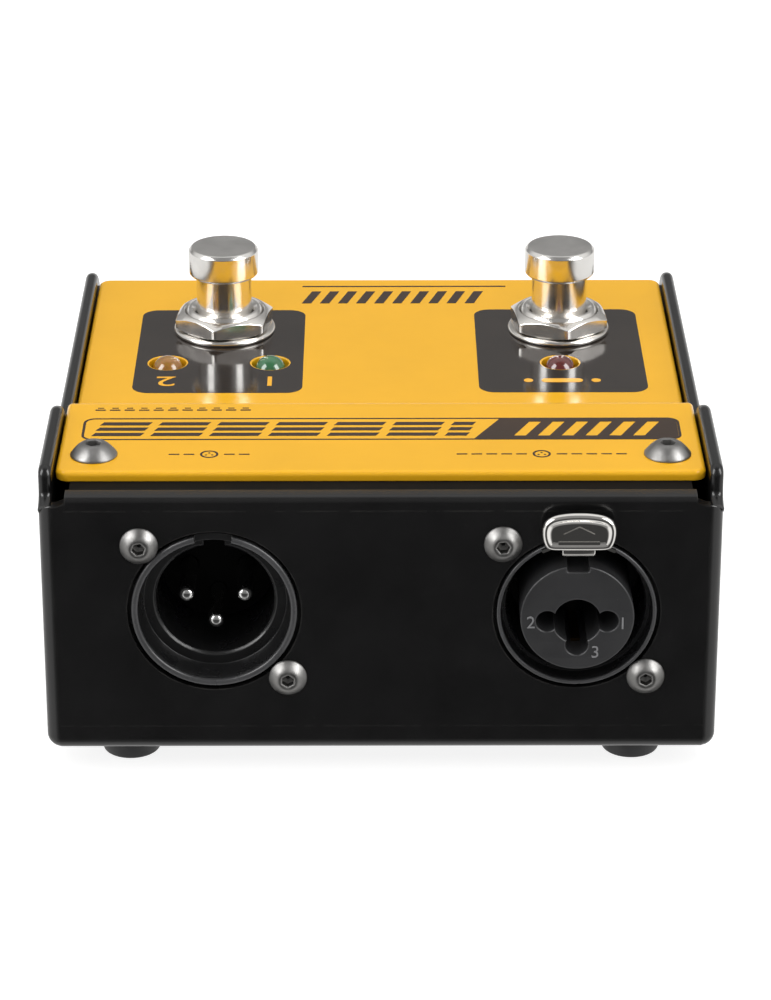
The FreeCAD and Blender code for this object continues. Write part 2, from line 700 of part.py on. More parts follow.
# pole contacts: flat strips along the outer side of each lobe, tails down to the board
STRIPS = [(-5.6, -1.2, 0.4, 1.26), (5.2, -1.2, 0.4, 1.26), (-0.63, -5.6, 1.26, 0.4)]


def strip(i, x, z, dx, dz):
    tail = D.combo_up + z - board_top
    if i == 2:
        legs = [box(dx, 0.5, tail + dz, x, 31.6, -tail + z)]
    else:
        legs = [box(dx, 0.5, tail + 0.8, x, 31.6 + 0.6, -tail + z)]
    reach = 29.6 if i == 2 else 30.2
    f = fuse("pole_contact_%d" % i, [box(dx, reach, dz, x, 2.5, z)] + legs)
    return place(f, D.combo_across, ZERO, D.combo_up)


node(group("combo_pole_contacts", [strip(i, *s) for i, s in enumerate(STRIPS)]))


def spring_contact(i, y):
    """Quarter-inch contact spring: a bent strip that rests just outside the bore."""
    pieces = [
        box(1.6, 3.2, 0.4, -0.8, y + 0.4, 3.1),
        box(1.6, 0.4, 3.2, -0.8, y + 0.4, 3.1),
    ]
    return place(fuse("jack_contact_%d" % i, pieces), D.combo_across, ZERO, D.combo_up)


node(group("combo_jack_contacts", [spring_contact(i, y) for i, y in enumerate((19.0, 25.0))]))

# release latch: a domed tab in front of the face, on a neck that turns about a steel pin
# behind the face's sheet, with a hook that reaches into the ring's gap
latch = body_named("combo_latch")
sk = new_sketch(latch, "XZ_Plane", 2.6)
polygon(sk, [(-3.6, 10.55), (3.6, 10.55), (4.6, 11.1), (5.15, 12.2), (5.15, 14.6), (4.5, 15.6), (3.4, 16.05),
             (-3.4, 16.05), (-4.5, 15.6), (-5.15, 14.6), (-5.15, 12.2), (-4.6, 11.1)])
pad(latch, sk, 1.1, back=True)
fillet(latch, lambda m, t, e: near(m.y, -2.6), 0.5)
# neck from the tab back through the cut-out
sk = new_sketch(latch, "YZ_Plane")
polygon(sk, [(-1.9, 10.6), (4.1, 10.3), (4.1, 11.9), (2.9, 11.25), (-1.9, 11.25)])
pad(latch, sk, 7.0, mid=True)
# eye round the pin
sk = new_sketch(latch, "YZ_Plane")
circle(sk, 4.1, 11.15, 1.45)
pad(latch, sk, 7.0, mid=True)
# hook and its lower tongue
sk = new_sketch(latch, "YZ_Plane")
polygon(sk, [(-1.7, 10.9), (-1.7, 9.55), (-1.1, 9.35), (0.2, 9.1), (0.9, 9.1), (0.9, 10.9)])
pad(latch, sk, 4.8, mid=True)
sk = new_sketch(latch, "YZ_Plane")
circle(sk, 4.1, 11.15, 0.9)
pocket(latch, sk, 20.0, mid=True)
place(latch, D.combo_across, ZERO, D.combo_up)
node(latch)
steel_pin = cylinder(0.82, 15.6, along="X")
steel_pin.Label = "combo_latch_pin"
node(place(steel_pin, D.combo_across - 7.8, 4.1, D.combo_up + 11.15))

# latch return spring: a small torsion coil round the pin, between the latch and the cheek,
# as closed turns on one bar with a straight leg at each end
turns = []
for i in range(3):
    ring = doc.addObject("Part::Torus", "Turn")
    ring.Radius1 = 1.3
    ring.Radius2 = 0.2
    ring.Placement = FreeCAD.Placement(V(0, 0, 0), ALONG["X"])
    turns.append(spot(ring, 3.85 + 0.5 * i))
turns.append(cylinder(0.18, 1.0, 3.85, 1.3, 0, along="X"))
turns.append(cylinder(0.2, 2.2, 3.85, 0, 1.3, along="Y"))
turns.append(cylinder(0.2, 2.2, 4.85, 0, -1.3, along="Y"))
latch_spring = fuse("combo_latch_spring", turns)
place(latch_spring, D.combo_across, 4.1, D.combo_up + 11.15)
node(latch_spring)


# ======================================================================= footswitches
def helix_spring(name, radius, wire, low, high, x, y):
    """Compression coil, both ends flat on their seats."""
    turns = 6
    rise = high.v - low.v - 2 * wire
    path = Part.makeHelix(rise / turns, rise, radius)
    ring = Part.Wire([Part.Circle(V(radius, 0, 0), V(0, 1, 0), wire).toShape()])
    tube = Part.Wire(path.Edges).makePipeShell([ring], True, True)
    thing = doc.addObject("Part::Feature", name)
    thing.Shape = tube
    thing.Label = name
    place(thing, x, y, low + wire)
    return thing


def footswitch(side, x, turn):
    y = D.switch_depth
    top = D.panel_top
    washer_top = top + 0.85
    nut_top = washer_top + 2.75
    # plunger: cap, stem and the collar that keeps it in the bushing
    r = D.stem_radius
    node(turned(side + "_plunger", [
        (ZERO, 21.6), (4.9, 21.6), (4.9, 23.4), (r, 23.4), (r, D.cap_low), (D.cap_radius - 0.45, D.cap_low), (D.cap_radius, D.cap_low + 0.55),
        (D.cap_radius, D.cap_top - 0.65, 0.65), (D.cap_radius - 0.65, D.cap_top), (ZERO, D.cap_top),
    ], x, y))
    # threaded bushing with a square foot on the switch body and a dished mouth
    bushing = body_named(side + "_bushing")
    sk = new_sketch(bushing, "XZ_Plane")
    bore = r + D.stem_play
    tr = D.thread_radius
    polygon(sk, [(bore, 23.9), (tr, 23.9), (tr, nut_top - 0.1), (tr - 0.5, nut_top + 0.35), (bore + 0.75, nut_top + 0.35), (bore, nut_top - 0.55)])
    revolve(bushing, sk)
    sk = new_sketch(bushing, "XY_Plane", D.switch_high)
    half = D.switch_side / 2
    polygon(sk, rect(-half, -half, half, half))
    circle(sk, ZERO, ZERO, tr - 0.3)
    pad(bushing, sk, 1.2)
    place(bushing, x, y)
    node(bushing)
    # hexagon nut, chamfered on top
    nut = body_named(side + "_hex_nut")
    sk = new_sketch(nut, "XY_Plane", washer_top)
    polygon(sk, hexagon(D.nut_flats, turn))
    circle(sk, ZERO, ZERO, tr + 0.05)
    pad(nut, sk, 2.75)
    # the corner bevel, turned
    sk = new_sketch(nut, "XZ_Plane")
    polygon(sk, [(7.0, nut_top), (9.0, nut_top), (9.0, nut_top - 1.15)])
    g = nut.newObject("PartDesign::Groove", "Bevel")
    g.Profile = sk
    g.ReferenceAxis = (sk, ["V_Axis"])
    g.Angle = 360.0
    doc.recompute()
    place(nut, x, y)
    node(nut)
    node(turned(side + "_washer", [(tr + 0.1, top), (D.washer_radius - 0.25, top), (D.washer_radius, top + 0.25), (D.washer_radius, washer_top - 0.25),
                                   (D.washer_radius - 0.25, washer_top), (tr + 0.1, washer_top)], x, y))
    # height-setting nut under the panel
    under = top - D.cover_sheet
    lock = body_named(side + "_lock_nut")
    sk = new_sketch(lock, "XY_Plane", under - 2.1)
    polygon(sk, hexagon(D.nut_flats, turn + 20))
    circle(sk, ZERO, ZERO, tr + 0.05)
    pad(lock, sk, 2.1)
    place(lock, x, y)
    node(lock)
    # switch body: a square block with a round well for the collar and the spring
    block = body_named(side + "_switch_body")
    sk = new_sketch(block, "XY_Plane", D.switch_low)
    polygon(sk, rect(-half, -half, half, half))
    pad(block, sk, D.switch_high - D.switch_low)
    sk = new_sketch(block, "XY_Plane", 14.0)
    circle(sk, ZERO, ZERO, tr + 0.1)
    pocket(block, sk, 20.0, back=True)
    fillet(block, lambda m, t, e: abs(t.z) > 0.99 and near(abs(m.x), half) and near(abs(m.y), half), 0.8)
    place(block, x, y)
    node(block)
    # nine solder lugs down to the circuit board
    lugs = []
    for i in range(9):
        lugs.append(place(box(2.2, 0.8, D.switch_low - board_top, -1.1, -0.4, 0), x + (i % 3 - 1) * 5.3, y + (i // 3 - 1) * 4.9, board_top))
    node(group(side + "_terminals", lugs))
    node(helix_spring(side + "_return_spring", 3.6, 0.35, Q.of(14.0), Q.of(21.6), x, y))


footswitch("left", D.left_across, -100.0)
footswitch("right", D.right_across, -82.0)

# ============================================================================== lamps
for name, x in (("led_green", D.lamp_green), ("led_amber", D.lamp_amber), ("led_red", D.lamp_red)):
    rr = D.lamp_radius
    node(turned(name, [(ZERO, 28.4), (2.85, 28.4), (2.85, 29.3), (rr, 29.3), (rr, D.lamp_top - rr, rr), (ZERO, D.lamp_top)], x, D.lamp_near))
node(group("led_spacers", [
    turned("led_spacer_%d" % i, [(0.9, board_top), (2.9, board_top), (2.9, 28.35), (0.9, 28.35)], x, D.lamp_near)
    for i, x in enumerate((D.lamp_green, D.lamp_amber, D.lamp_red))]))

# ====================================================================== circuit board
MOUNTS = [(-40.0, 34.0), (40.0, 34.0), (-40.0, 86.0), (40.0, 86.0)]
board = body_named("main_circuit_board")
sk = new_sketch(board, "XY_Plane", D.board_low)
polygon(sk, rect(-44.0, 4.5, 44.0, 97.0))
for x, y in MOUNTS:
    circle(sk, x, y, 1.6)
pad(board, sk, D.board_thick)
fillet(board, lambda m, t, e: abs(t.z) > 0.99 and near(abs(m.x), 44.0), 2.0)
place(board)
node(board)
node(group("board_standoffs", [
    place(cut("standoff_%d" % i, cylinder(2.6, D.board_low - D.sheet - 0.02), [cylinder(1.45, 10.0, 0, 0, -1.0)]), x, y, D.sheet)
    for i, (x, y) in enumerate(MOUNTS)]))
node(group("board_screws", [
    turned("board_screw_%d" % i, [(ZERO, -4.4), (1.4, -4.4), (1.4, ZERO), (2.7, ZERO), (2.7, 1.2), (2.2, 1.7), (ZERO, 1.7)], x, y, board_top)
    for i, (x, y) in enumerate(MOUNTS)]))
PARTS_ON_BOARD = [
    # x, y, width, depth, height of relays, chips and small parts
    (-9.0, 70.0, 10.0, 14.0, 8.0), (-9.0, 86.0, 10.0, 8.0, 8.0), (7.0, 72.0, 6.4, 9.6, 3.4),
    (-30.0, 40.0, 7.6, 10.0, 2.2), (-14.0, 40.0, 7.6, 10.0, 2.2), (4.0, 40.0, 5.0, 6.2, 1.8), (16.0, 42.0, 3.2, 1.6, 1.0),
    (16.0, 46.0, 3.2, 1.6, 1.0), (16.0, 50.0, 3.2, 1.6, 1.0), (24.0, 44.0, 7.0, 4.4, 2.2),
]
parts_on_board = [place(box(w, d, hgt), x - w / 2.0, y - d / 2.0, board_top) for x, y, w, d, hgt in PARTS_ON_BOARD]
parts_on_board += [place(cylinder(2.5, 6.5), x, y, board_top) for x, y in ((6.0, 86.0), (12.5, 86.0))]
node(group("board_components", parts_on_board))

# =============================================================================== feet
FEET = [(D.foot_half * s, y) for s in (-1, 1) for y in (D.foot_near, D.foot_far)]
fr = D.foot_radius
fh = D.foot_height
node(group("rubber_feet", [
    turned("rubber_foot_%d" % i, [(1.65, -1.2), (2.6, -1.2), (2.6, -fh), (fr - 1.3, -fh), (fr - 0.75, -fh + 0.5), (fr, ZERO), (1.65, ZERO)], x, y)
    for i, (x, y) in enumerate(FEET)]))
node(group("foot_screws", [
    turned("foot_screw_%d" % i, [(ZERO, -3.0), (1.9, -3.0), (2.3, -2.5), (2.3, -1.2), (1.5, -1.2), (1.5, 3.9), (ZERO, 3.9)], x, y)
    for i, (x, y) in enumerate(FEET)]))

# ============================================================================== check
doc.recompute()
bad = [o.Label for o in doc.Objects if any(s in ("Invalid", "Error") for s in o.State)]
if bad:
    raise RuntimeError("failed objects: %s" % bad)
os.makedirs("parts", exist_ok=True)
for name, thing in NODES.items():
    shape = thing.Shape
    if shape.isNull() or not shape.isValid() or not shape.Solids:
        raise RuntimeError("bad shape: " + name)
    if any(s.Volume <= 0 for s in shape.Solids):
        raise RuntimeError("inside-out solid: " + name)
for name, thing in NODES.items():
    thing.Shape.exportStep("parts/%s.step" % name)
whole = Part.makeCompound([t.Shape for t in NODES.values()])
b = whole.BoundBox
print("nodes", len(NODES), "bbox", [round(v, 3) for v in (b.XMin, b.XMax, b.YMin, b.YMax, b.ZMin, b.ZMax)])
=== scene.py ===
import math

import bmesh
import bpy
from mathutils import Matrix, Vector
from mathutils.geometry import tessellate_polygon


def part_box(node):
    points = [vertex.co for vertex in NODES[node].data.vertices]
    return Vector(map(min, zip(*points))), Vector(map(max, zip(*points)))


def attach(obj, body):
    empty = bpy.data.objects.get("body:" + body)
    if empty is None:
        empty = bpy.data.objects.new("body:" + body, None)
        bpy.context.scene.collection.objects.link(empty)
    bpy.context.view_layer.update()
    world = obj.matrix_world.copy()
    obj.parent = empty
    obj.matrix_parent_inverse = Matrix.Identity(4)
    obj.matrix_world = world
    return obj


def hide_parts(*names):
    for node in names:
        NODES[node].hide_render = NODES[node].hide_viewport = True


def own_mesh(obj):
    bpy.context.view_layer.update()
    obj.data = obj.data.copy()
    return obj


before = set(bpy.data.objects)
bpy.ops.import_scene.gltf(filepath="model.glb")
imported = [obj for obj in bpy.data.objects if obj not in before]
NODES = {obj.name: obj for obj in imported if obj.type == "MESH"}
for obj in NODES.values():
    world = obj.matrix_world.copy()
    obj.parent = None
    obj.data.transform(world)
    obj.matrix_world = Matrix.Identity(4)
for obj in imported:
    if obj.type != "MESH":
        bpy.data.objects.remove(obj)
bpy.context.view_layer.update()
scene = bpy.context.scene
MM = 0.001
_c_lo, _c_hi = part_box("chassis")
Y0, Z0 = _c_lo.y, _c_lo.z


def P(x, y, z):
    """Case coordinates in millimetres to the frame: y from the connector face, z from the chassis underside."""
    return Vector((x * MM, Y0 + y * MM, Z0 + z * MM))


def centre(node):
    """Centre of a node's box, in case millimetres."""
    lo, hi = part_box(node)
    m = (lo + hi) / 2
    return m.x / MM, (m.y - Y0) / MM, (m.z - Z0) / MM


# ------------------------------------------------------------------------- materials
class Nodes:
    def __init__(self, name):
        self.m = bpy.data.materials.new(name)
        self.m.use_nodes = True
        self.t = self.m.node_tree
        self.t.nodes.clear()
        self.out = self.add("ShaderNodeOutputMaterial")
        self.b = self.add("ShaderNodeBsdfPrincipled")
        self.t.links.new(self.b.outputs[0], self.out.inputs[0])
        self.co = self.add("ShaderNodeTexCoord").outputs["Object"]

    def add(self, kind, **props):
        n = self.t.nodes.new(kind)
        for k, v in props.items():
            setattr(n, k, v)
        return n

    def link(self, a, b):
        self.t.links.new(a, b)

    def noise(self, scale, detail=3.0, rough=0.55, stretch=None):
        n = self.add("ShaderNodeTexNoise")
        n.inputs["Scale"].default_value = scale
        n.inputs["Detail"].default_value = detail
        n.inputs["Roughness"].default_value = rough
        src = self.co
        if stretch:
            mp = self.add("ShaderNodeMapping")
            mp.inputs["Scale"].default_value = stretch
            self.link(src, mp.inputs["Vector"])
            src = mp.outputs[0]
        self.link(src, n.inputs["Vector"])
        return n.outputs["Fac"]

    def remap(self, v, a, b, c, d):
        n = self.add("ShaderNodeMapRange")
        for i, x in zip(("From Min", "From Max", "To Min", "To Max"), (a, b, c, d)):
            n.inputs[i].default_value = x
        self.link(v, n.inputs["Value"])
        return n.outputs[0]

    def math(self, op, a, b):
        n = self.add("ShaderNodeMath", operation=op)
        for i, x in enumerate((a, b)):
            if isinstance(x, (int, float)):
                n.inputs[i].default_value = x
            else:
                self.link(x, n.inputs[i])
        return n.outputs[0]

    def mix(self, fac, a, b):
        n = self.add("ShaderNodeMix", data_type="RGBA")
        for sock, x in ((n.inputs[0], fac), (n.inputs[6], a), (n.inputs[7], b)):
            if isinstance(x, (int, float)):
                sock.default_value = x
            elif isinstance(x, tuple):
                sock.default_value = (*x, 1.0)
            else:
                self.link(x, sock)
        return n.outputs[2]


def finish_of(name, base, rough=0.4, metal=0.0, spec=0.5, ior=1.5, coat=0.0, coat_rough=0.1, vary=0.12, vary_scale=90.0,
              rough_vary=0.06, rough_scale=260.0, bump=(), wear=None, specks=None, transmission=0.0, turned=None, sub=0.0):
    """A painted, moulded, plated or rubber finish. bump is a list of (noise scale per metre, height in metres).
    wear is (colour, radius in metres, amount) for worn or thin paint at edges; specks is (colour, scale, share)."""
    s = Nodes(name)
    b = s.b
    b.inputs["Metallic"].default_value = metal
    b.inputs["IOR"].default_value = ior
    b.inputs["Specular IOR Level"].default_value = spec
    b.inputs["Coat Weight"].default_value = coat
    b.inputs["Coat Roughness"].default_value = coat_rough
    b.inputs["Transmission Weight"].default_value = transmission
    if sub:
        b.inputs["Subsurface Weight"].default_value = sub
        b.inputs["Subsurface Scale"].default_value = 0.0006
    big = s.noise(vary_scale, 4.0, 0.6)
    low = tuple(c * (1 - vary) for c in base)
    high = tuple(min(1.0, c * (1 + vary)) for c in base)
    colour = s.mix(s.remap(big, 0.3, 0.7, 0.0, 1.0), low, high)
    if specks:
        v = s.add("ShaderNodeTexVoronoi")
        v.inputs["Scale"].default_value = specks[1]
        s.link(s.co, v.inputs["Vector"])
        pick = s.remap(v.outputs["Distance"], specks[2], specks[2] * 0.5, 0.0, 1.0)
        gate = s.remap(s.noise(specks[1] * 0.33, 1.0), 0.56, 0.62, 0.0, 1.0)
        colour = s.mix(s.math("MULTIPLY", pick, gate), colour, specks[0])
    r = s.remap(s.noise(rough_scale, 3.0), 0.3, 0.7, max(0.02, rough - rough_vary), rough + rough_vary)
    if wear:
        bev = s.add("ShaderNodeBevel", samples=4)
        bev.inputs["Radius"].default_value = wear[1]
        geo = s.add("ShaderNodeNewGeometry")
        dot = s.add("ShaderNodeVectorMath", operation="DOT_PRODUCT")
        s.link(bev.outputs[0], dot.inputs[0])
        s.link(geo.outputs["Normal"], dot.inputs[1])
        edge = s.remap(dot.outputs["Value"], 0.995, 0.90, 0.0, 1.0)
        patch = s.remap(s.noise(420.0, 3.0), 0.42, 0.62, 0.25, 1.0)
        worn = s.math("MULTIPLY", s.math("MULTIPLY", edge, patch), wear[2])
        colour = s.mix(worn, colour, wear[0])
    s.link(colour, b.inputs["Base Color"])
    s.link(r, b.inputs["Roughness"])
    normal = None
    for scale, height in bump:
        n = s.add("ShaderNodeBump")
        n.inputs["Strength"].default_value = 1.0
        n.inputs["Distance"].default_value = height
        s.link(s.noise(scale, 2.0), n.inputs["Height"])
        if normal:
            s.link(normal, n.inputs["Normal"])
        normal = n.outputs[0]
    if turned:
        # rings about an axis through (x, y, z), left by the lathe
        (cx, cy, cz), across, pitch, height = turned
        sep = s.add("ShaderNodeSeparateXYZ")
        s.link(s.co, sep.inputs[0])
        parts = []
        for i, c in enumerate((cx, cy, cz)):
            if across[i]:
                d = s.math("SUBTRACT", sep.outputs[i], c)
                parts.append(s.math("MULTIPLY", d, d))
        dist = s.math("SQRT", s.math("ADD", parts[0], parts[1]), 0.0)
        wave = s.math("SINE", s.math("MULTIPLY", dist, 2 * math.pi / pitch), 0.0)
        n = s.add("ShaderNodeBump")
        n.inputs["Strength"].default_value = 1.0
        n.inputs["Distance"].default_value = height
        s.link(wave, n.inputs["Height"])
        if normal:
            s.link(normal, n.inputs["Normal"])
        normal = n.outputs[0]
    if normal:
        s.link(normal, b.inputs["Normal"])
    return s.m


BLACK = finish_of("black_powder_coat", (0.0065, 0.0064, 0.0066), rough=0.20, spec=0.5, vary=0.25, rough_vary=0.04, rough_scale=140.0,
                  bump=((420.0, 7.0e-6), (1500.0, 1.6e-6)), wear=((0.045, 0.043, 0.040), 0.00035, 0.55), specks=((0.16, 0.15, 0.14), 900.0, 0.035))
YELLOW = finish_of("yellow_powder_coat", (0.81, 0.42, 0.011), rough=0.15, spec=0.5, vary=0.035, vary_scale=45.0, rough_vary=0.035, rough_scale=120.0,
                   bump=((360.0, 3.0e-6), (1400.0, 7.0e-7)), wear=((0.93, 0.50, 0.03), 0.0003, 0.5), specks=((0.95, 0.72, 0.30), 700.0, 0.03))
INK = finish_of("dark_brown_ink", (0.021, 0.016, 0.013), rough=0.10, spec=0.5, vary=0.18, rough_vary=0.03, bump=((380.0, 2.0e-6),),
                specks=((0.30, 0.26, 0.22), 800.0, 0.035))
BANNER_INK = finish_of("brown_ink", (0.034, 0.017, 0.008), rough=0.18, spec=0.5, vary=0.2, bump=((380.0, 3.0e-6),))
YELLOW_INK = finish_of("yellow_ink", (0.86, 0.42, 0.02), rough=0.30, spec=0.5, vary=0.05, bump=((500.0, 6.0e-6),))
SATIN_STEEL = finish_of("satin_steel", (0.24, 0.236, 0.23), rough=0.42, metal=1.0, vary=0.16, vary_scale=500.0, rough_vary=0.09, rough_scale=900.0,
                        bump=((2600.0, 3.0e-6),), wear=((0.34, 0.33, 0.32), 0.00012, 0.5))
CHROME = finish_of("bright_chrome", (0.86, 0.84, 0.81), rough=0.09, metal=1.0, vary=0.05, vary_scale=260.0, rough_vary=0.035, rough_scale=500.0,
                   bump=((900.0, 1.5e-6),), wear=((0.93, 0.91, 0.88), 0.0002, 0.5))
NICKEL = finish_of("bright_nickel", (0.80, 0.775, 0.74), rough=0.20, metal=1.0, vary=0.06, vary_scale=260.0, rough_vary=0.04, rough_scale=420.0,
                   bump=((900.0, 2.0e-6),), wear=((0.88, 0.86, 0.83), 0.0002, 0.5))
SOCKET = finish_of("socket_plastic", (0.009, 0.009, 0.0095), rough=0.30, vary=0.2, rough_vary=0.06, bump=((1600.0, 3.0e-6),),
                   wear=((0.05, 0.05, 0.05), 0.0002, 0.5), specks=((0.25, 0.25, 0.25), 1300.0, 0.03))
INSERT = finish_of("insert_plastic", (0.022, 0.022, 0.0235), rough=0.42, vary=0.12, rough_vary=0.07, bump=((2400.0, 5.0e-6),),
                   wear=((0.10, 0.10, 0.105), 0.0002, 0.6), specks=((0.30, 0.30, 0.30), 1100.0, 0.03))
SILVER = finish_of("silver_contact", (0.86, 0.86, 0.85), rough=0.16, metal=1.0, vary=0.06, vary_scale=500.0, bump=((1800.0, 2.0e-6),))
GOLD = finish_of("gold_contact", (0.86, 0.55, 0.20), rough=0.22, metal=1.0, vary=0.08, vary_scale=500.0, bump=((1800.0, 2.0e-6),))
RUBBER = finish_of("rubber", (0.022, 0.022, 0.023), rough=0.62, vary=0.2, rough_vary=0.08, bump=((1800.0, 1.2e-5),), wear=((0.06, 0.06, 0.06), 0.0003, 0.6))
ZINC = finish_of("zinc_steel", (0.56, 0.57, 0.58), rough=0.30, metal=1.0, vary=0.14, vary_scale=300.0, bump=((1500.0, 3.0e-6),))
BRASS = finish_of("brass_spacer", (0.62, 0.42, 0.16), rough=0.28, metal=1.0, vary=0.1, vary_scale=300.0, bump=((1500.0, 3.0e-6),))
BOARD = finish_of("board_green", (0.012, 0.085, 0.03), rough=0.32, vary=0.18, vary_scale=200.0, bump=((900.0, 6.0e-6),))
PARTS = finish_of("component_black", (0.016, 0.016, 0.017), rough=0.45, vary=0.2, bump=((2200.0, 5.0e-6),))
SPACER = finish_of("spacer_plastic", (0.03, 0.03, 0.032), rough=0.5, vary=0.15, bump=((1800.0, 6.0e-6),))
SWITCH = finish_of("switch_blue", (0.02, 0.11, 0.34), rough=0.38, vary=0.1, bump=((1800.0, 5.0e-6),))
LENS = {
    "led_green": finish_of("green_lens", (0.035, 0.19, 0.075), rough=0.10, coat=1.0, coat_rough=0.05, vary=0.18, vary_scale=700.0, transmission=0.25, sub=0.3, bump=((900.0, 3.0e-6),)),
    "led_amber": finish_of("amber_lens", (0.40, 0.185, 0.018), rough=0.10, coat=1.0, coat_rough=0.05, vary=0.18, vary_scale=700.0, transmission=0.25, sub=0.3, bump=((900.0, 3.0e-6),)),
    "led_red": finish_of("red_lens", (0.15, 0.018, 0.016), rough=0.10, coat=1.0, coat_rough=0.05, vary=0.18, vary_scale=700.0, transmission=0.25, sub=0.3, bump=((900.0, 3.0e-6),)),
}


# --------------------------------------------------------------------- mesh building
def rounded(points, r, n=4, closed=True):
    """Round the corners of an outline. A point is (a, b) or (a, b, its own radius)."""
    out = []
    count = len(points)
    for i, p in enumerate(points):
        rr = p[2] if len(p) > 2 else r
        if (not closed and i in (0, count - 1)) or rr <= 0:
            out.append((p[0], p[1]))
            continue
        a, b, c = Vector(points[i - 1][:2]), Vector(p[:2]), Vector(points[(i + 1) % count][:2])
        u, v = a - b, c - b
        lu, lv = u.length, v.length
        u, v = u / lu, v / lv
        ang = math.acos(max(-1.0, min(1.0, u.dot(v))))
        if ang > math.radians(176):
            out.append(tuple(b))
            continue
        t = min(rr / math.tan(ang / 2), lu * 0.49, lv * 0.49)
        rr = t * math.tan(ang / 2)
        cen = b + (u + v).normalized() * (rr / math.sin(ang / 2))
        s, e = b + u * t, b + v * t
        a0, a1 = math.atan2(s.y - cen.y, s.x - cen.x), math.atan2(e.y - cen.y, e.x - cen.x)
        d = (a1 - a0 + math.pi) % (2 * math.pi) - math.pi
        for k in range(n + 1):
            w = a0 + d * k / n
            out.append((cen.x + rr * math.cos(w), cen.y + rr * math.sin(w)))
    return out


def make(name, bm, material, body, angle=32.0, bevel=None, replaces=()):
    bmesh.ops.remove_doubles(bm, verts=bm.verts, dist=1e-8)
    bmesh.ops.recalc_face_normals(bm, faces=bm.faces)
    me = bpy.data.meshes.new(name)
    bm.to_mesh(me)
    bm.free()
    ob = bpy.data.objects.new(name, me)
    scene.collection.objects.link(ob)
    me.materials.append(material)
    for p in me.polygons:
        p.use_smooth = True
    me.set_sharp_from_angle(angle=math.radians(angle))
    if bevel:
        mod = ob.modifiers.new("Bevel", "BEVEL")
        mod.width = bevel[0] * MM
        mod.segments = bevel[1]
        mod.limit_method = "ANGLE"
        mod.angle_limit = math.radians(bevel[2] if len(bevel) > 2 else 35)
        mod.harden_normals = True
        mod.use_clamp_overlap = True
        for p in me.polygons:
            p.use_smooth = True
        for e in me.edges:
            e.use_edge_sharp = False
    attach(ob, body)
    if replaces:
        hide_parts(*replaces)
    return ob


def call(v, t):
    return v(t) if callable(v) else v


def lathe(bm, prof, cx, cy, cz, axis="Z", seg=96, turn=0.0):
    """Turn a profile of (radius, height) about an axis. Heights are case z for axis Z, and case y for axis Y.
    Each value may be a function of the angle. The profile is a closed loop unless it starts and ends on the axis."""
    ends_on_axis = not callable(prof[0][0]) and not callable(prof[-1][0]) and prof[0][0] < 1e-9 and prof[-1][0] < 1e-9
    rings = []
    for r, h in prof:
        if not callable(r) and r < 1e-9:
            p = P(cx, cy, call(h, 0.0)) if axis == "Z" else P(cx, call(h, 0.0), cz)
            rings.append([bm.verts.new(p)])
            continue
        ring = []
        for k in range(seg):
            t = 2 * math.pi * k / seg
            rr, hh = call(r, t), call(h, t)
            a, b = rr * math.cos(t + turn), rr * math.sin(t + turn)
            ring.append(bm.verts.new(P(cx + a, cy + b, hh) if axis == "Z" else P(cx + a, hh, cz + b)))
        rings.append(ring)
    pairs = list(zip(rings, rings[1:]))
    if not ends_on_axis:
        pairs.append((rings[-1], rings[0]))
    for a, b in pairs:
        for k in range(seg):
            k2 = (k + 1) % seg
            if len(a) == 1 and len(b) == 1:
                continue
            if len(a) == 1:
                bm.faces.new((a[0], b[k], b[k2]))
            elif len(b) == 1:
                bm.faces.new((a[k], b[0], a[k2]))
            else:
                bm.faces.new((a[k], b[k], b[k2], a[k2]))
    return bm


def hex_r(flats, t, soft=0.0):
    """Radius of a hexagon of that width across flats, at angle t; soft rounds its corners."""
    a = (t % (math.pi / 3)) - math.pi / 6
    r = flats / 2 / math.cos(a)
    if soft:
        r = min(r, flats / 2 / math.cos(math.pi / 6) - soft * max(0.0, 1 - (math.pi / 6 - abs(a)) / 0.10))
    return r


def plated(bm, loops_of, levels, put):
    """A plate with rounded edges and holes. loops_of(d) gives the outer loop and the holes, drawn in by d;
    levels is a list of (d, h) from front to back; put(a, b, h) gives the point."""
    rings = []
    for d, h in levels:
        rings.append([[bm.verts.new(put(a, b, h)) for a, b in loop] for loop in loops_of(d)])
    for one, two in zip(rings, rings[1:]):
        for la, lb in zip(one, two):
            n = len(la)
            for k in range(n):
                bm.faces.new((la[k], la[(k + 1) % n], lb[(k + 1) % n], lb[k]))
    for which, (d, h) in ((0, levels[0]), (-1, levels[-1])):
        loops = loops_of(d)
        flat = [v for loop in rings[which] for v in loop]
        for tri in tessellate_polygon([[Vector((a, b, 0)) for a, b in loop] for loop in loops]):
            try:
                bm.faces.new([flat[i] for i in tri])
            except ValueError:
                pass
    return bm


def edge_levels(front, back, r, n=3, both=False):
    """Levels for plated(): a quarter-round of radius r at the front edge, and at the back too with both."""
    s = 1 if back > front else -1
    out = [(r * (1 - math.sin(math.pi / 2 * k / n)), front + s * r * (1 - math.cos(math.pi / 2 * k / n))) for k in range(n + 1)]
    if both:
        out += [(d, front + back - h) for d, h in reversed(out)]
    else:
        out.append((0.0, back))
    return out


def circle(cx, cy, r, n=64, a0=0.0):
    return [(cx + r * math.cos(a0 + 2 * math.pi * k / n), cy + r * math.sin(a0 + 2 * math.pi * k / n)) for k in range(n)]


def box_outline(x0, y0, x1, y1, r, n=6):
    return rounded([(x0, y0), (x1, y0), (x1, y1), (x0, y1)], r, n)


def flat_up(a, b, h):
    return P(a, b, h)


def facing(cx, cz):
    return lambda a, b, h: P(cx + a, h, cz + b)


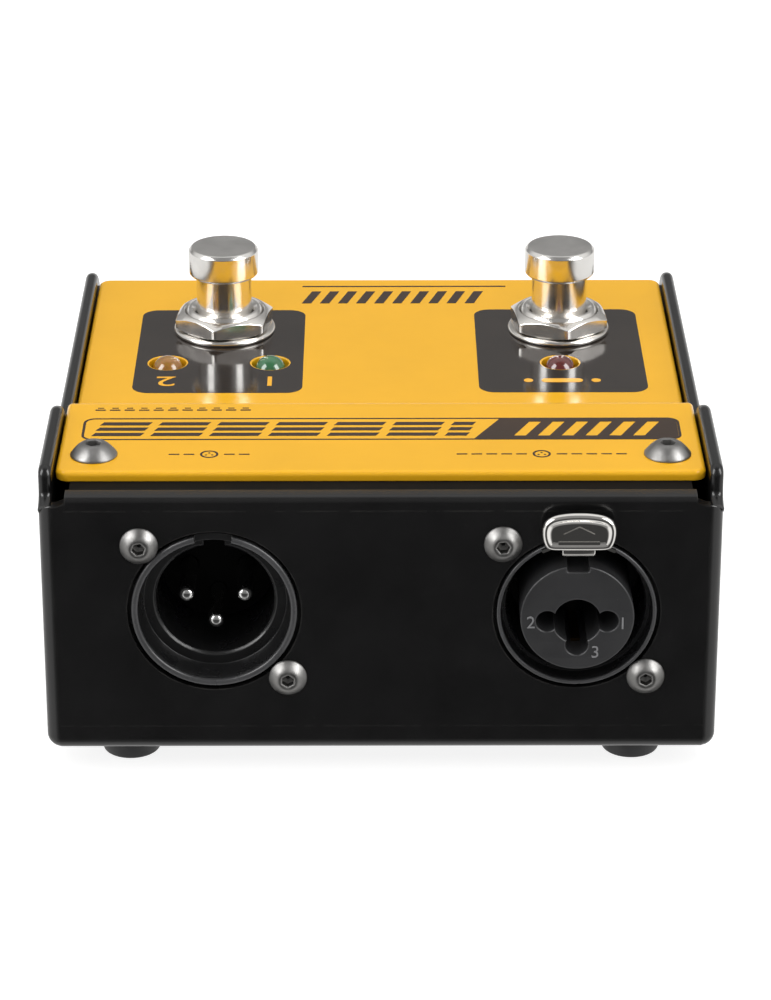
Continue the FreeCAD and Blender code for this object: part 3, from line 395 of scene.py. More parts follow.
def block(bm, x0, x1, y0, y1, z0, z1):
    v = [bm.verts.new(P(x, y, z)) for x in (x0, x1) for y in (y0, y1) for z in (z0, z1)]
    for f in ((0, 1, 3, 2), (4, 6, 7, 5), (0, 4, 5, 1), (2, 3, 7, 6), (0, 2, 6, 4), (1, 5, 7, 3)):
        bm.faces.new([v[i] for i in f])
    return bm


def text_solid(name, body_text, size, wide, depth, put, material, body):
    """A plain numeral as a raised solid. put(a, b, h) takes the numeral's own across, up and height, in mm."""
    cu = bpy.data.curves.new(name, "FONT")
    cu.body = body_text
    cu.size = size
    cu.align_x = "CENTER"
    cu.align_y = "CENTER"
    cu.extrude = depth / 2
    cu.resolution_u = 6
    tmp = bpy.data.objects.new(name + "_tmp", cu)
    scene.collection.objects.link(tmp)
    bpy.context.view_layer.update()
    me = bpy.data.meshes.new_from_object(tmp)
    bpy.data.objects.remove(tmp)
    bpy.data.curves.remove(cu)
    bm = bmesh.new()
    bm.from_mesh(me)
    bpy.data.meshes.remove(me)
    for v in bm.verts:
        v.co = put(v.co.x * wide, v.co.y, v.co.z + depth / 2)
    return make(name, bm, material, body)


def polish(node, material, width=0.3, segments=2, angle=32.0):
    """A carried-over node: its finish, and eased edges that catch the light."""
    o = NODES[node]
    o.data.materials.clear()
    o.data.materials.append(material)
    if width:
        w = o.modifiers.new("Weld", "WELD")
        w.merge_threshold = 2e-6
        d = o.modifiers.new("Flat", "DECIMATE")
        d.decimate_type = "DISSOLVE"
        d.angle_limit = math.radians(0.6)
        b = o.modifiers.new("Eased", "BEVEL")
        b.width = width * MM
        b.segments = segments
        b.limit_method = "ANGLE"
        b.angle_limit = math.radians(angle)
        b.harden_normals = True
        b.use_clamp_overlap = True
        b.miter_outer = "MITER_ARC"
    return o


# ------------------------------------------------------------------ carried-over nodes
SHADED_GOLD = finish_of("shaded_gold", (0.10, 0.06, 0.02), rough=0.42, metal=1.0, vary=0.15, bump=((1800.0, 2.0e-6),))
polish("top_cover", YELLOW, 0.30, 3)
for n, m in (("cover_nuts", ZINC), ("male_socket_housing", SOCKET), ("combo_socket_housing", SOCKET),
             ("board_components", PARTS), ("main_circuit_board", BOARD), ("board_standoffs", BRASS), ("board_screws", ZINC), ("led_spacers", SPACER),
             ("left_lock_nut", NICKEL), ("right_lock_nut", NICKEL), ("left_switch_body", SWITCH), ("right_switch_body", SWITCH),
             ("left_terminals", SILVER), ("right_terminals", SILVER), ("foot_screws", ZINC)):
    polish(n, m, 0.15, 2)
for n, m in (("combo_latch_pin", ZINC), ("combo_latch_spring", ZINC), ("combo_pole_contacts", SHADED_GOLD)):
    polish(n, m, 0)

# the deep parts of the sockets, where no light reaches: the insert and the jack contacts are drawn near-black as
# painted shade
DEEP = finish_of("shaded_plastic", (0.003, 0.003, 0.003), rough=0.6, spec=0.12, vary=0.2, bump=((1600.0, 3.0e-6),))
SHADED_SPRING = finish_of("shaded_spring_bronze", (0.010, 0.008, 0.006), rough=0.5, metal=1.0, vary=0.2, bump=((1600.0, 3.0e-6),))
polish("male_socket_insert", DEEP, 0.15, 2)
polish("combo_jack_contacts", SHADED_SPRING, 0)

# --------------------------------------------------------------------- folded chassis
HALF, SHEET, BEND, DEPTH = 47.625, 1.9, 2.1, 101.6
WALL_HIGH, WALL_LOW, FACE_TOP, REAR_TOP, LIP = 42.9, 36.54, 39.5, 33.14, 2.1


def side_wall(bm, side):
    """One side wall: its top edges are rounded like coated sheet, its other edges carry the bends into the
    face, the floor and the user's side wall."""
    def strength(y, z):
        if z > FACE_TOP or (z > 38.15 and y < 30):
            return 0.0
        if y > DEPTH - 6.5 and z > WALL_LOW - 6.0:
            return max(0.0, min(1.0, (WALL_LOW - z) / 6.0)) ** 2
        if z > WALL_LOW - 0.5 and y > 2.5:
            return 0.0
        return 1.0
    outline = rounded([(0, 0, BEND), (DEPTH, 0, BEND), (DEPTH, WALL_LOW, 6.0), (34.1, WALL_LOW, 4.0), (26.1, WALL_HIGH, 6.0),
                       (2.3, WALL_HIGH, 1.7), (2.3, 38.95, 0.9), (0.0, 38.1, 0.45)], 1.0, 12)
    count = len(outline)
    normals = []
    for i in range(count):
        (ay, az), (by, bz) = outline[i - 1], outline[(i + 1) % count]
        ty, tz = by - ay, bz - az
        ln = math.hypot(ty, tz)
        normals.append((-tz / ln, ty / ln))
    rings = []
    top_r = 0.88
    for h in (0.0, 0.015, 0.06, 0.13, 0.23, 0.36, 0.5, 0.68, 0.88, 1.02, 1.22, 1.4, 1.54, 1.67, 1.77, 1.84, 1.885, 1.9):
        near_face = min(h, SHEET - h, top_r)
        d_top = top_r - math.sqrt(max(0.0, top_r ** 2 - (top_r - near_face) ** 2))
        d_bend = BEND - math.sqrt(max(0.0, BEND ** 2 - (BEND - h) ** 2))
        ring = []
        for (y, z), (ny, nz) in zip(outline, normals):
            w = strength(y, z)
            d = w * d_bend + (1 - w) * d_top
            ring.append(bm.verts.new(P(side * (HALF - h), y + ny * d, z + nz * d)))
        rings.append(ring)
    for a, b in zip(rings, rings[1:]):
        for k in range(count):
            bm.faces.new((a[k], a[(k + 1) % count], b[(k + 1) % count], b[k]))
    for ring in (rings[0], rings[-1]):
        for tri in tessellate_polygon([[Vector((v.co.y, v.co.z, 0)) for v in ring]]):
            bm.faces.new([ring[i] for i in tri])


def extrude_x(bm, loop, x0, x1):
    ends = [[bm.verts.new(P(x, y, z)) for y, z in loop] for x in (x0, x1)]
    n = len(loop)
    for k in range(n):
        bm.faces.new((ends[0][k], ends[0][(k + 1) % n], ends[1][(k + 1) % n], ends[1][k]))
    for ring in ends:
        for tri in tessellate_polygon([[Vector((v.co.y, v.co.z, 0)) for v in ring]]):
            bm.faces.new([ring[i] for i in tri])


bm = bmesh.new()
side_wall(bm, -1)
side_wall(bm, 1)
# connector face with its two round openings; the right one has room for the latch's neck
a_notch = math.asin(4.3 / 11.75)
combo_opening = [(27.45 + 11.75 * math.cos(math.pi / 2 + a_notch + (2 * math.pi - 2 * a_notch) * k / 96),
                  21.8 + 11.75 * math.sin(math.pi / 2 + a_notch + (2 * math.pi - 2 * a_notch) * k / 96)) for k in range(97)]
combo_opening += [(27.45 + 4.3, 21.8 + 12.9), (27.45 - 4.3, 21.8 + 12.9)]
WEB = HALF - SHEET + 0.03
face = [(-WEB, 4.0), (WEB, 4.0), (WEB, 38.0), (45.0, 38.1), (44.3, 38.4), (43.92, 38.6), (43.9, FACE_TOP - LIP),
        (-43.9, FACE_TOP - LIP), (-43.92, 38.6), (-44.3, 38.4), (-45.0, 38.1), (-WEB, 38.0)]
plated(bm, lambda d: [face, circle(-23.4, 22.05, 12.2 - d, 96), combo_opening], [(0, 0), (0, SHEET)], lambda a, b, h: P(a, h, b))
# floor with the bends up into the face and the user's side wall, and that wall's inward flange
extrude_x(bm, rounded([(0, 4.0, 0), (0, 0, BEND), (DEPTH, 0, BEND), (DEPTH, REAR_TOP, BEND), (DEPTH - 13.6, REAR_TOP, 0), (DEPTH - 13.6, REAR_TOP - SHEET, 0),
                       (DEPTH - SHEET, REAR_TOP - SHEET, 0.2), (DEPTH - SHEET, SHEET, 0.2), (SHEET, SHEET, 0.2), (SHEET, 4.0, 0)], 0.2, 10), -WEB + 0.01, WEB - 0.01)
# bend along the top of the face
extrude_x(bm, rounded([(0, FACE_TOP - LIP, 0), (0, FACE_TOP, LIP), (LIP + 0.6, FACE_TOP, 0), (LIP + 0.6, FACE_TOP - SHEET, 0),
                       (SHEET, FACE_TOP - SHEET, 0.2), (SHEET, FACE_TOP - 2.4, 0), (0.6, FACE_TOP - 2.4, 0), (0.6, FACE_TOP - LIP, 0)][::-1], 0.2, 12), -43.88, 43.88)
tray = make("chassis_piece", bm, BLACK, "case", angle=38, replaces=("chassis",))
# the flat sides keep their own normals, so that the rounded edges don't shade them
wn_mod = tray.modifiers.new("Flat sides", "WEIGHTED_NORMAL")
wn_mod.weight = 100
wn_mod.keep_sharp = True
# the flange that runs in under the cover, matt and darker than the case's black: painted shade under the cover's lip
FLANGE_SHADE = finish_of("flange_painted_shade_black", (0.004, 0.004, 0.004), rough=0.7, spec=0.10, vary=0.2, bump=((700.0, 6.0e-6),))
bm = bmesh.new()
plated(bm, lambda d: [box_outline(-43.4, LIP + 0.6, 43.4, 17.0, 0.3, 3)], [(0, FACE_TOP - 0.01), (0, FACE_TOP - SHEET + 0.01)], flat_up)
make("front_flange", bm, FLANGE_SHADE, "case", angle=38)

# ----------------------------------------------------------------- printed decoration
STRIP = 41.0
PANEL = 34.64
INK_H = 0.03


def printed(name, outline, holes, top, material, height=INK_H):
    bm = bmesh.new()
    plated(bm, lambda d: [outline] + holes, [(0, top + height), (0, top)], flat_up)
    return make(name, bm, material, "case")


xl, yl, _ = centre("left_plunger")
xr, yr, _ = centre("right_plunger")
lamps = {n: centre(n)[:2] for n in ("led_green", "led_amber", "led_red")}
LAMP_RING = 3.12
left_holes = [circle(*lamps["led_amber"], LAMP_RING, 64), circle(*lamps["led_green"], LAMP_RING, 64), circle(xl, yl, 7.5, 64)]
right_holes = [circle(*lamps["led_red"], LAMP_RING, 64), circle(xr, yr, 7.5, 64)]
printed("label_panel_left", box_outline(-37.6, 49.9, -11.8, 84.6, 2.5, 8), left_holes, PANEL, INK)
printed("label_panel_right", box_outline(15.0, 50.0, 40.65, 84.8, 2.5, 8), right_holes, PANEL, INK)


def from_user(cx, cy, top):
    """Marks on the cover read from the user's side: their up runs towards the connectors."""
    return lambda a, b, h: P(cx - a, cy - b, top + h)


text_solid("numeral_two", "2", 5.4, 1.25, 0.03, from_user(-32.6, 54.75, PANEL + INK_H), YELLOW_INK, "case")
text_solid("numeral_one", "1", 5.4, 1.25, 0.03, from_user(-16.8, 54.75, PANEL + INK_H), YELLOW_INK, "case")


def bar(x0, y0, x1, y1, slant=0.0):
    return [(x0, y0), (x1, y0), (x1 + slant, y1), (x0 + slant, y1)]


def marks(name, shapes, top, material, height=0.03):
    bm = bmesh.new()
    for shape in shapes:
        outer, holes = shape if isinstance(shape, tuple) else (shape, [])
        plated(bm, lambda d: [outer] + holes, [(0, top + height), (0, top)], flat_up)
    return make(name, bm, material, "case")


# a plain pill with a dot each side under the red lamp
marks("lamp_mark_right", [box_outline(24.6, 54.0, 30.9, 55.5, 0.74, 8), circle(22.6, 54.75, 0.72, 32), circle(32.9, 54.75, 0.72, 32)],
      PANEL + INK_H, YELLOW_INK)

# banner along the raised strip: an outlined frame, a dark slanted block with plain cut-outs, and a row of bars
FX0, FX1, FY0, FY1 = -42.7, 42.95, 16.85, 24.85
banner = []
outer = box_outline(FX0, FY0, FX1, FY1, 1.7, 8)
inner = box_outline(FX0 + 0.38, FY0 + 0.38, FX1 - 0.38, FY1 - 0.38, 1.35, 8)
banner.append((outer, [inner]))
marks("banner_frame", banner, STRIP, BANNER_INK)
# the block fills the right end of the frame, behind its outline
blk = rounded([(13.35, FY0 + 0.4, 0.05), (FX1 - 0.4, FY0 + 0.4, 1.3), (FX1 - 0.4, FY1 - 0.4, 1.3), (17.1, FY1 - 0.4, 0.05)], 0.1, 6)
slots = [bar(x, 18.3, x + 1.7, 23.4, 2.4) for x in (19.0, 22.4, 25.8, 29.2, 32.6, 36.0)]
marks("banner_block", [(blk, slots)], STRIP, BANNER_INK)
# rows of plain stripes of even length fill the rest
stripes = []
for k in range(3):
    y = 18.3 + k * 1.95
    slide = 0.5 * k
    for x0 in (-41.3, -32.9, -24.5, -16.1, -7.7, 0.7):
        stripes.append(bar(x0 + slide, y, x0 + slide + 7.0, y + 1.15, 0.55))
    stripes.append(bar(9.1 + slide, y, 12.2 + slide, y + 1.15, 0.55))
marks("banner_bars", stripes, STRIP, BANNER_INK)

# small legends: socket pictograms in front of the banner, a dashed rule behind it
small = []
for cx, wide in ((-24.2, 4.3), (22.7, 11.2)):
    small.append((circle(cx, 11.7, 1.3, 40), [circle(cx, 11.7, 0.98, 40)]))
    for ax, ay in ((-0.45, -0.25), (0.45, -0.25), (0.0, 0.45)):
        small.append(circle(cx + ax, 11.7 + ay, 0.17, 16))
    for side in (-1, 1):
        x = cx + side * 2.1
        while abs(x - cx) < wide:
            small.append(bar(min(x, x + side * 1.5), 11.5, max(x, x + side * 1.5), 11.85))
            x += side * 2.1
marks("socket_marks", small, STRIP, BANNER_INK)
dashes = []
x = -41.3
while x < -18.5:
    dashes.append(bar(x, 27.7, x + 1.5, 28.1))
    dashes.append(bar(x + 0.3, 28.5, x + 1.2, 28.8))
    x += 2.1
marks("dashed_rule", dashes, STRIP, BANNER_INK)

# a plain striped motif at the far edge between the switches
far = [bar(x, 87.6, x + 1.5, 93.0, 1.6) for x in (-12.5, -9.6, -6.7, -3.8, -0.9, 2.0, 4.9, 7.8, 10.7, 13.6)]
far.append(bar(-12.5, 95.0, 20.4, 95.5))
marks("far_stripes", far, PANEL, BANNER_INK)


# ------------------------------------------------------------------------ footswitches
def switch(side, turn):
    cx, cy, _ = centre(side + "_plunger")
    lo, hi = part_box(side + "_plunger")
    top, bottom = (hi.z - Z0) / MM, (lo.z - Z0) / MM
    cap_r = (hi.x - lo.x) / 2 / MM
    body = side + "_button"
    bm = bmesh.new()
    low = top - 4.5
    lathe(bm, rounded([
        (0.0, bottom), (4.9, bottom), (4.9, bottom + 1.8), (4.3, bottom + 1.8, 0.02), (4.3, low, 0.15), (cap_r - 0.30, low, 0.18), (cap_r, low + 0.35, 0.3),
        (cap_r, top - 0.50, 0.30), (cap_r - 0.48, top, 0.34), (0.0, top)], 0.12, 5, closed=False), cx, cy, 0, seg=144)
    make(side + "_plunger_piece", bm, CAP[side], body, angle=50, replaces=(side + "_plunger",))
    # bushing: thread below, dished bright mouth above
    lo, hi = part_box(side + "_bushing")
    btop, bbot = (hi.z - Z0) / MM, (lo.z - Z0) / MM
    prof = [(4.36, bbot, 0.1), (5.9, bbot, 0.1)]
    z = bbot + 0.4
    while z < btop - 1.0:
        prof += [(5.62, z, 0.03), (5.98, z + 0.32, 0.03)]
        z += 0.64
    prof += [(5.98, btop - 0.55, 0.1), (5.55, btop - 0.05, 0.22), (5.15, btop, 0.12), (4.42, btop - 0.85, 0.1), (4.36, btop - 1.4, 0.05)]
    bm = bmesh.new()
    lathe(bm, rounded(prof, 0.05, 2), cx, cy, 0, seg=120)
    square = box_outline(-8.6, -8.6, 8.6, 8.6, 0.6, 4)
    plated(bm, lambda d: [[(a * (1 - d / 8.6), b * (1 - d / 8.6)) for a, b in square], circle(0, 0, 5.4 + d, 64)],
           edge_levels(27.7, 26.5, 0.15, 2, both=True), lambda a, b, h: P(cx + a, cy + b, h))
    make(side + "_bushing_piece", bm, NICKEL, "case", angle=40, replaces=(side + "_bushing",))
    # nut: six flats whose tops are cut by a cone
    lo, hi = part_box(side + "_hex_nut")
    n0, n1 = (lo.z - Z0) / MM, (hi.z - Z0) / MM
    flats, crown = 14.0, 6.55
    R = lambda t: hex_r(flats, t, 0.06)
    cut = lambda t: n1 - max(0.0, R(t) - crown) * 0.62
    under = lambda t: n0 + max(0.0, R(t) - crown - 0.35) * 0.45
    prof = [(6.06, n1 - 0.35), (6.25, n1 - 0.06), (6.32, n1), (crown - 0.08, n1), (crown + 0.02, n1 - 0.02),
            (lambda t: R(t) - 0.07, lambda t: cut(t) + 0.02), (lambda t: R(t), lambda t: cut(t) - 0.08),
            (lambda t: R(t), lambda t: under(t) + 0.06), (lambda t: R(t) - 0.06, under), (6.5, n0), (6.06, n0 + 0.3)]
    bm = bmesh.new()
    lathe(bm, prof, cx, cy, 0, seg=180, turn=math.radians(turn))
    make(side + "_hex_nut_piece", bm, NICKEL, "case", angle=24, replaces=(side + "_hex_nut",))
    lo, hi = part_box(side + "_washer")
    w0, w1 = (lo.z - Z0) / MM, (hi.z - Z0) / MM
    bm = bmesh.new()
    lathe(bm, rounded([(6.12, w0 + 0.03, 0.1), (7.9, w0 + 0.03, 0.28), (8.0, w0 + 0.45, 0.4), (7.75, w1, 0.3), (6.12, w1, 0.1)], 0.2, 5), cx, cy, 0, seg=128)
    make(side + "_washer_piece", bm, NICKEL, "case", angle=60, replaces=(side + "_washer",))


def return_spring(side):
    """The coil under a plunger. Its foot stays on the switch body."""
    node = side + "_return_spring"
    cx, cy, _ = centre(node)
    lo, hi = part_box(node)
    z0, z1 = (lo.z - Z0) / MM, (hi.z - Z0) / MM
    wire = 0.33
    rad = (hi.x - lo.x) / 2 / MM - wire - 0.02
    turns, steps, round_n = 5.5, 48, 10
    n = int(turns * steps)
    low, high = z0 + wire, z1 - wire
    bm = bmesh.new()
    rings = []
    for k in range(n + 1):
        t = k / n
        a = 2 * math.pi * turns * t
        # the end coils lie flat and the middle ones climb
        u = min(1.0, max(0.0, (t - 0.12) / 0.76))
        flat = 2.1 * wire * (min(t, 0.12) + max(0.0, t - 0.88)) / 0.24
        z = low + flat + (high - low - 2.1 * wire) * u
        ca, sa = math.cos(a), math.sin(a)
        rings.append([bm.verts.new(P(cx + (rad + wire * math.cos(p)) * ca, cy + (rad + wire * math.cos(p)) * sa, z + wire * math.sin(p)))
                      for p in [2 * math.pi * j / round_n for j in range(round_n)]])
    for a, b in zip(rings, rings[1:]):
        for j in range(round_n):
            bm.faces.new((a[j], a[(j + 1) % round_n], b[(j + 1) % round_n], b[j]))
    bm.faces.new(rings[0])
    bm.faces.new(rings[-1][::-1])
    ob = make(side + "_return_spring_piece", bm, ZINC, "case", angle=60, replaces=(node,))
    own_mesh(ob)


return_spring("left")
return_spring("right")

CAP = {}
for side in ("left", "right"):
    cx, cy, _ = centre(side + "_plunger")
    c = P(cx, cy, 0)
    CAP[side] = finish_of("cap_nickel_" + side, (0.80, 0.785, 0.76), rough=0.19, metal=1.0, vary=0.05, vary_scale=240.0, rough_vary=0.04, rough_scale=420.0,
                          bump=((900.0, 1.5e-6),), turned=((c.x, c.y, c.z), (1, 1, 0), 0.00018, 1.2e-6), wear=((0.88, 0.86, 0.83), 0.0002, 0.4))
switch("left", -100.0)
switch("right", -82.0)

# --------------------------------------------------------------------------------- lamps
for n, mat in LENS.items():
    cx, cy, _ = centre(n)
    lo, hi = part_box(n)
    z0, z1 = (lo.z - Z0) / MM, (hi.z - Z0) / MM
    rr = 2.45
    dome = [(rr * math.cos(a), z1 - rr + rr * math.sin(a)) for a in [math.pi / 2 * k / 14 for k in range(15)]]
    dome[-1] = (0.0, z1)
    bm = bmesh.new()
    lathe(bm, [(0.0, z0), (2.80, z0), (2.80, z0 + 0.85), (rr + 0.02, z0 + 0.95)] + dome, cx, cy, 0, seg=96)
    make(n + "_lens", bm, mat, "case", angle=35, replaces=(n,))


# -------------------------------------------------------------------------------- screws
def screw(bm, head_r, head_h, socket, shank_r, shank, cx, cy, cz, axis, turn):
    """Button head with a hexagon socket. On axis Z the head stands up, and on axis Y it stands out towards -Y."""
    s = 1 if axis == "Z" else -1
    base = cz if axis == "Z" else cy
    flat = socket / 2 + 0.42
    rise = 0.20
    k = head_h - rise
    # a shallow spherical cap from the rim to a small flat around the socket
    reach = head_r - flat
    dome = []
    for i in range(13):
        u = i / 12
        dome.append((head_r - reach * u, rise + k * (1 - (1 - u) ** 1.55)))
    R = lambda t: hex_r(socket, t)
    prof = [(0.0, -shank), (shank_r * 0.8, -shank), (shank_r, -shank + 0.3), (shank_r, 0.0), (head_r - 0.12, 0.0), (head_r, 0.08)] + dome
    prof += [(lambda t: R(t) + 0.17, head_h - 0.01), (lambda t: R(t) + 0.02, head_h - 0.12), (R, head_h - 0.2),
             (R, head_h - 1.25), (lambda t: R(t) * 0.5, head_h - 1.45), (0.0, head_h - 1.6)]
    fixed = [(r, (lambda h: (lambda t: base + s * call(h, t)))(h)) for r, h in prof]
    lathe(bm, fixed, cx, cy, cz, axis=axis, seg=96, turn=turn)


bm = bmesh.new()
for i, (sx, tw) in enumerate(((-40.45, 0.35), (40.45, 0.1))):
    screw(bm, 3.33, 1.9, 1.98, 1.7, 9.0, sx, 11.55, STRIP, "Z", tw)
make("cover_screw_heads", bm, SATIN_STEEL, "case", angle=38, replaces=("cover_screws",))
bm = bmesh.new()
for (sx, sz), tw in zip(((-33.7, 32.2), (-13.15, 11.75), (17.0, 32.4), (37.35, 11.9)), (0.2, 0.45, 0.1, 0.6)):
    screw(bm, 2.7, 1.5, 1.6, 1.4, 8.0, sx, 0.0, sz, "Y", tw)
make("connector_screw_heads", bm, SATIN_STEEL, "case", angle=38, replaces=("connector_screws",))

# ----------------------------------------------------------------- male socket contacts
mx, mz = -23.4, 22.05
bm = bmesh.new()
for px, pz in ((-4.1, 0.0), (4.1, 0.0), (0.0, -4.1)):
    tip = 5.0
    prof = [(0.0, tip), (0.35, tip + 0.02), (0.70, tip + 0.16), (0.98, tip + 0.42), (1.14, tip + 0.8), (1.2, tip + 1.3), (1.2, 22.2), (0.0, 22.2)]
    lathe(bm, prof, mx + px, 0, mz + pz, axis="Y", seg=48)
    block(bm, mx + px - 0.5, mx + px + 0.5, 21.0, 22.0, 7.0, mz + pz)
make("male_contact_pins", bm, SILVER, "case", angle=40, replaces=("male_socket_pins",))

# rounded rims of the two housings, which catch the light; they are drawn in a lighter plastic than the housings as a
# painted highlight
RIM_HIGHLIGHT = finish_of("rim_plastic_highlight", (0.045, 0.045, 0.047), rough=0.28, vary=0.15, rough_vary=0.06, bump=((1600.0, 3.0e-6),),
                wear=((0.10, 0.10, 0.10), 0.0002, 0.5), specks=((0.30, 0.30, 0.30), 1300.0, 0.03))


def rim(bm, cx, cz, r0, r1, front, deep, gap, n=120):
    """A half-round rim between radii r0 and r1, open by the angle gap at the top."""
    mid, half_w = (r0 + r1) / 2, (r1 - r0) / 2
    prof = [(mid + half_w * math.cos(u), front + half_w * 0.75 * (1 - math.sin(u))) for u in [math.pi * k / 10 for k in range(11)]]
    prof += [(r0, deep), (r1, deep)]
    a0, a1 = math.pi / 2 + gap / 2, math.pi * 2.5 - gap / 2
    rings = []
    for k in range(n + 1):
        a = a0 + (a1 - a0) * k / n
        rings.append([bm.verts.new(P(cx + q * math.cos(a), y, cz + q * math.sin(a))) for q, y in prof])
    m = len(prof)
    for a, b in zip(rings, rings[1:]):
        for j in range(m):
            bm.faces.new((a[j], a[(j + 1) % m], b[(j + 1) % m], b[j]))
    bm.faces.new(rings[0])
    bm.faces.new(rings[-1][::-1])


bm = bmesh.new()
rim(bm, -23.4, 22.05, 10.72, 11.66, -0.12, 0.9, math.radians(27))
make("male_socket_rim", bm, RIM_HIGHLIGHT, "case", angle=40)
bm = bmesh.new()
rim(bm, 27.45, 21.8, 10.66, 11.22, -0.12, 0.8, math.radians(46))
make("combo_socket_rim", bm, RIM_HIGHLIGHT, "case", angle=40)

# ------------------------------------------------------------------ combined socket disc
kx, kz = 27.45, 21.8
DROP = -0.57


def lobes(d, n=22):
    """Outline of the round hole joined with its three side lobes, grown by d."""
    R = 3.33 + d
    out = []
    spots = []
    for px, pz in ((4.2, -0.57), (-4.2, -0.57), (0.0, -4.22)):
        dist = math.hypot(px, pz - DROP)
        r = 1.57 + d
        phi = math.atan2(pz - DROP, px) % (2 * math.pi)
        al = math.acos((R * R + dist * dist - r * r) / (2 * R * dist))
        be = math.acos((dist * dist + r * r - R * R) / (2 * dist * r))
        spots.append((phi, al, be, r, px, pz))
    spots.sort()
    for i, (phi, al, be, r, px, pz) in enumerate(spots):
        for k in range(n + 1):
            a = phi - (math.pi - be) + 2 * (math.pi - be) * k / n
            out.append((px + r * math.cos(a), pz + r * math.sin(a)))
        nxt = spots[(i + 1) % 3]
        a0, a1 = phi + al, nxt[0] - nxt[1] + (2 * math.pi if i == 2 else 0)
        for k in range(1, n):
            a = a0 + (a1 - a0) * k / n
            out.append((R * math.cos(a), DROP + R * math.sin(a)))
    return out


def disc_edge(d, n=120):
    """Outline of the disc with its key slot at the top, drawn in by d."""
    R, half, floor = 8.0 - d, 1.55 + d, 7.0 - d
    a0 = math.asin(half / R)
    pts = []
    for k in range(n + 1):
        a = math.pi / 2 + a0 + (2 * math.pi - 2 * a0) * k / n
        pts.append((R * math.cos(a), R * math.sin(a)))
    c = 0.35
    pts += [(half, floor + c), (half - c * 0.3, floor + c * 0.3), (half - c, floor), (-half + c, floor), (-half + c * 0.3, floor + c * 0.3), (-half, floor + c)]
    return pts


bm = bmesh.new()
plated(bm, lambda d: [disc_edge(d), lobes(d)], edge_levels(-1.8, 12.0, 0.28, 4), facing(kx, kz))
# round bore behind the lobes, as a sleeve to the back
sleeve = bmesh.new()
lathe(sleeve, [(3.36, 12.02), (6.9, 12.02), (7.25, 12.4), (7.25, 30.4), (6.9, 30.8), (4.0, 30.8), (3.36, 29.4)], kx, 0, kz + DROP, axis="Y", seg=72)
make("combo_disc", bm, INSERT, "case", angle=30, replaces=("combo_socket_insert",))
make("combo_sleeve", sleeve, SOCKET, "case", angle=30)


# the raised numerals are drawn much lighter than the insert's plastic they are moulded in, as a painted highlight
DIGIT_HIGHLIGHT = finish_of("moulded_digit_highlight", (0.16, 0.16, 0.165), rough=0.42, vary=0.1, bump=((2400.0, 3.0e-6),))


def on_disc(cx, cz):
    return lambda a, b, h: P(kx + cx + a, -1.8 - h, kz + cz + b)


for nm, ch, ax, az in (("digit_one", "1", 6.35, -0.9), ("digit_two", "2", -6.5, -0.75), ("digit_three", "3", 2.6, -5.35)):
    text_solid(nm, ch, 2.6, 1.0, 0.10, on_disc(ax, az), DIGIT_HIGHLIGHT, "case")

# --------------------------------------------------------------------------------- latch


def chaikin(pts, times=3):
    for _ in range(times):
        out = []
        n = len(pts)
        for i in range(n):
            a, b = pts[i], pts[(i + 1) % n]
            out += [(a[0] * 0.75 + b[0] * 0.25, a[1] * 0.75 + b[1] * 0.25), (a[0] * 0.25 + b[0] * 0.75, a[1] * 0.25 + b[1] * 0.75)]
        pts = out
    return pts


half = [(0.0, 10.5), (2.4, 10.5), (4.2, 10.55), (4.85, 11.3), (5.2, 12.6), (5.2, 13.9), (4.75, 15.0), (3.6, 15.75), (1.6, 16.08)]
tab = chaikin(half + [(0.0, 16.12)] + [(-x, z) for x, z in reversed(half[1:])], 3)
tc = (0.0, 13.3)


def tab_in(d):
    """The tab's outline drawn in by about d."""
    out = []
    n = len(tab)
    for i, (x, z) in enumerate(tab):
        ax, az = tab[i - 1]
        bx, bz = tab[(i + 1) % n]
        tx, tz = bx - ax, bz - az
        ln = math.hypot(tx, tz)
        out.append((x - tz / ln * d, z + tx / ln * d))
    return out


bm = bmesh.new()
levels = [(1.55, -2.22), (1.15, -2.26), (0.95, -2.40), (0.75, -2.55), (0.55, -2.595), (0.35, -2.54), (0.15, -2.35), (0.03, -2.05), (0.0, -1.75), (0.1, -1.5)]
plated(bm, lambda d: [tab_in(d)], levels, facing(kx, kz))
# tongue, ears, neck and eye
plated(bm, lambda d: [box_outline(-2.3 + d, 9.72 + d, 2.3 - d, 10.75 - d, 0.25, 3)], edge_levels(-2.0, -1.0, 0.15, 2, both=True), facing(kx, kz))
plated(bm, lambda d: [box_outline(-2.25 + d, 9.2 + d, 2.25 - d, 10.6 - d, 0.2, 3)], edge_levels(-1.1, 0.8, 0.1, 2, both=True), facing(kx, kz))
for sgn in (-1, 1):
    ear = [(sgn * 3.3, 10.75), (sgn * 5.0, 10.02), (sgn * 5.25, 10.38), (sgn * 3.7, 11.1)]
    if sgn > 0:
        ear = ear[::-1]
    plated(bm, lambda d: [rounded(ear, 0.12, 3)], [(0, -1.9), (0, -1.3)], facing(kx, kz))
block(bm, kx - 3.4, kx + 3.4, -1.6, 3.2, kz + 10.42, kz + 11.2)
eye = []
for k in range(40):
    a = 2 * math.pi * k / 40
    eye.append((math.cos(a), math.sin(a)))
for r in (1,):
    rings = [[bm.verts.new(P(kx + x, 4.1 + rad * c, kz + 11.15 + rad * s)) for c, s in eye] for x, rad in ((-3.5, 0.92), (-3.5, 1.35), (-3.4, 1.45), (3.4, 1.45), (3.5, 1.35), (3.5, 0.92))]
    for i in range(len(rings)):
        a, b = rings[i], rings[(i + 1) % len(rings)]
        for k in range(40):
            bm.faces.new((a[k], a[(k + 1) % 40], b[(k + 1) % 40], b[k]))
make("combo_latch_piece", bm, CHROME, "latch", angle=45, replaces=("combo_latch",))
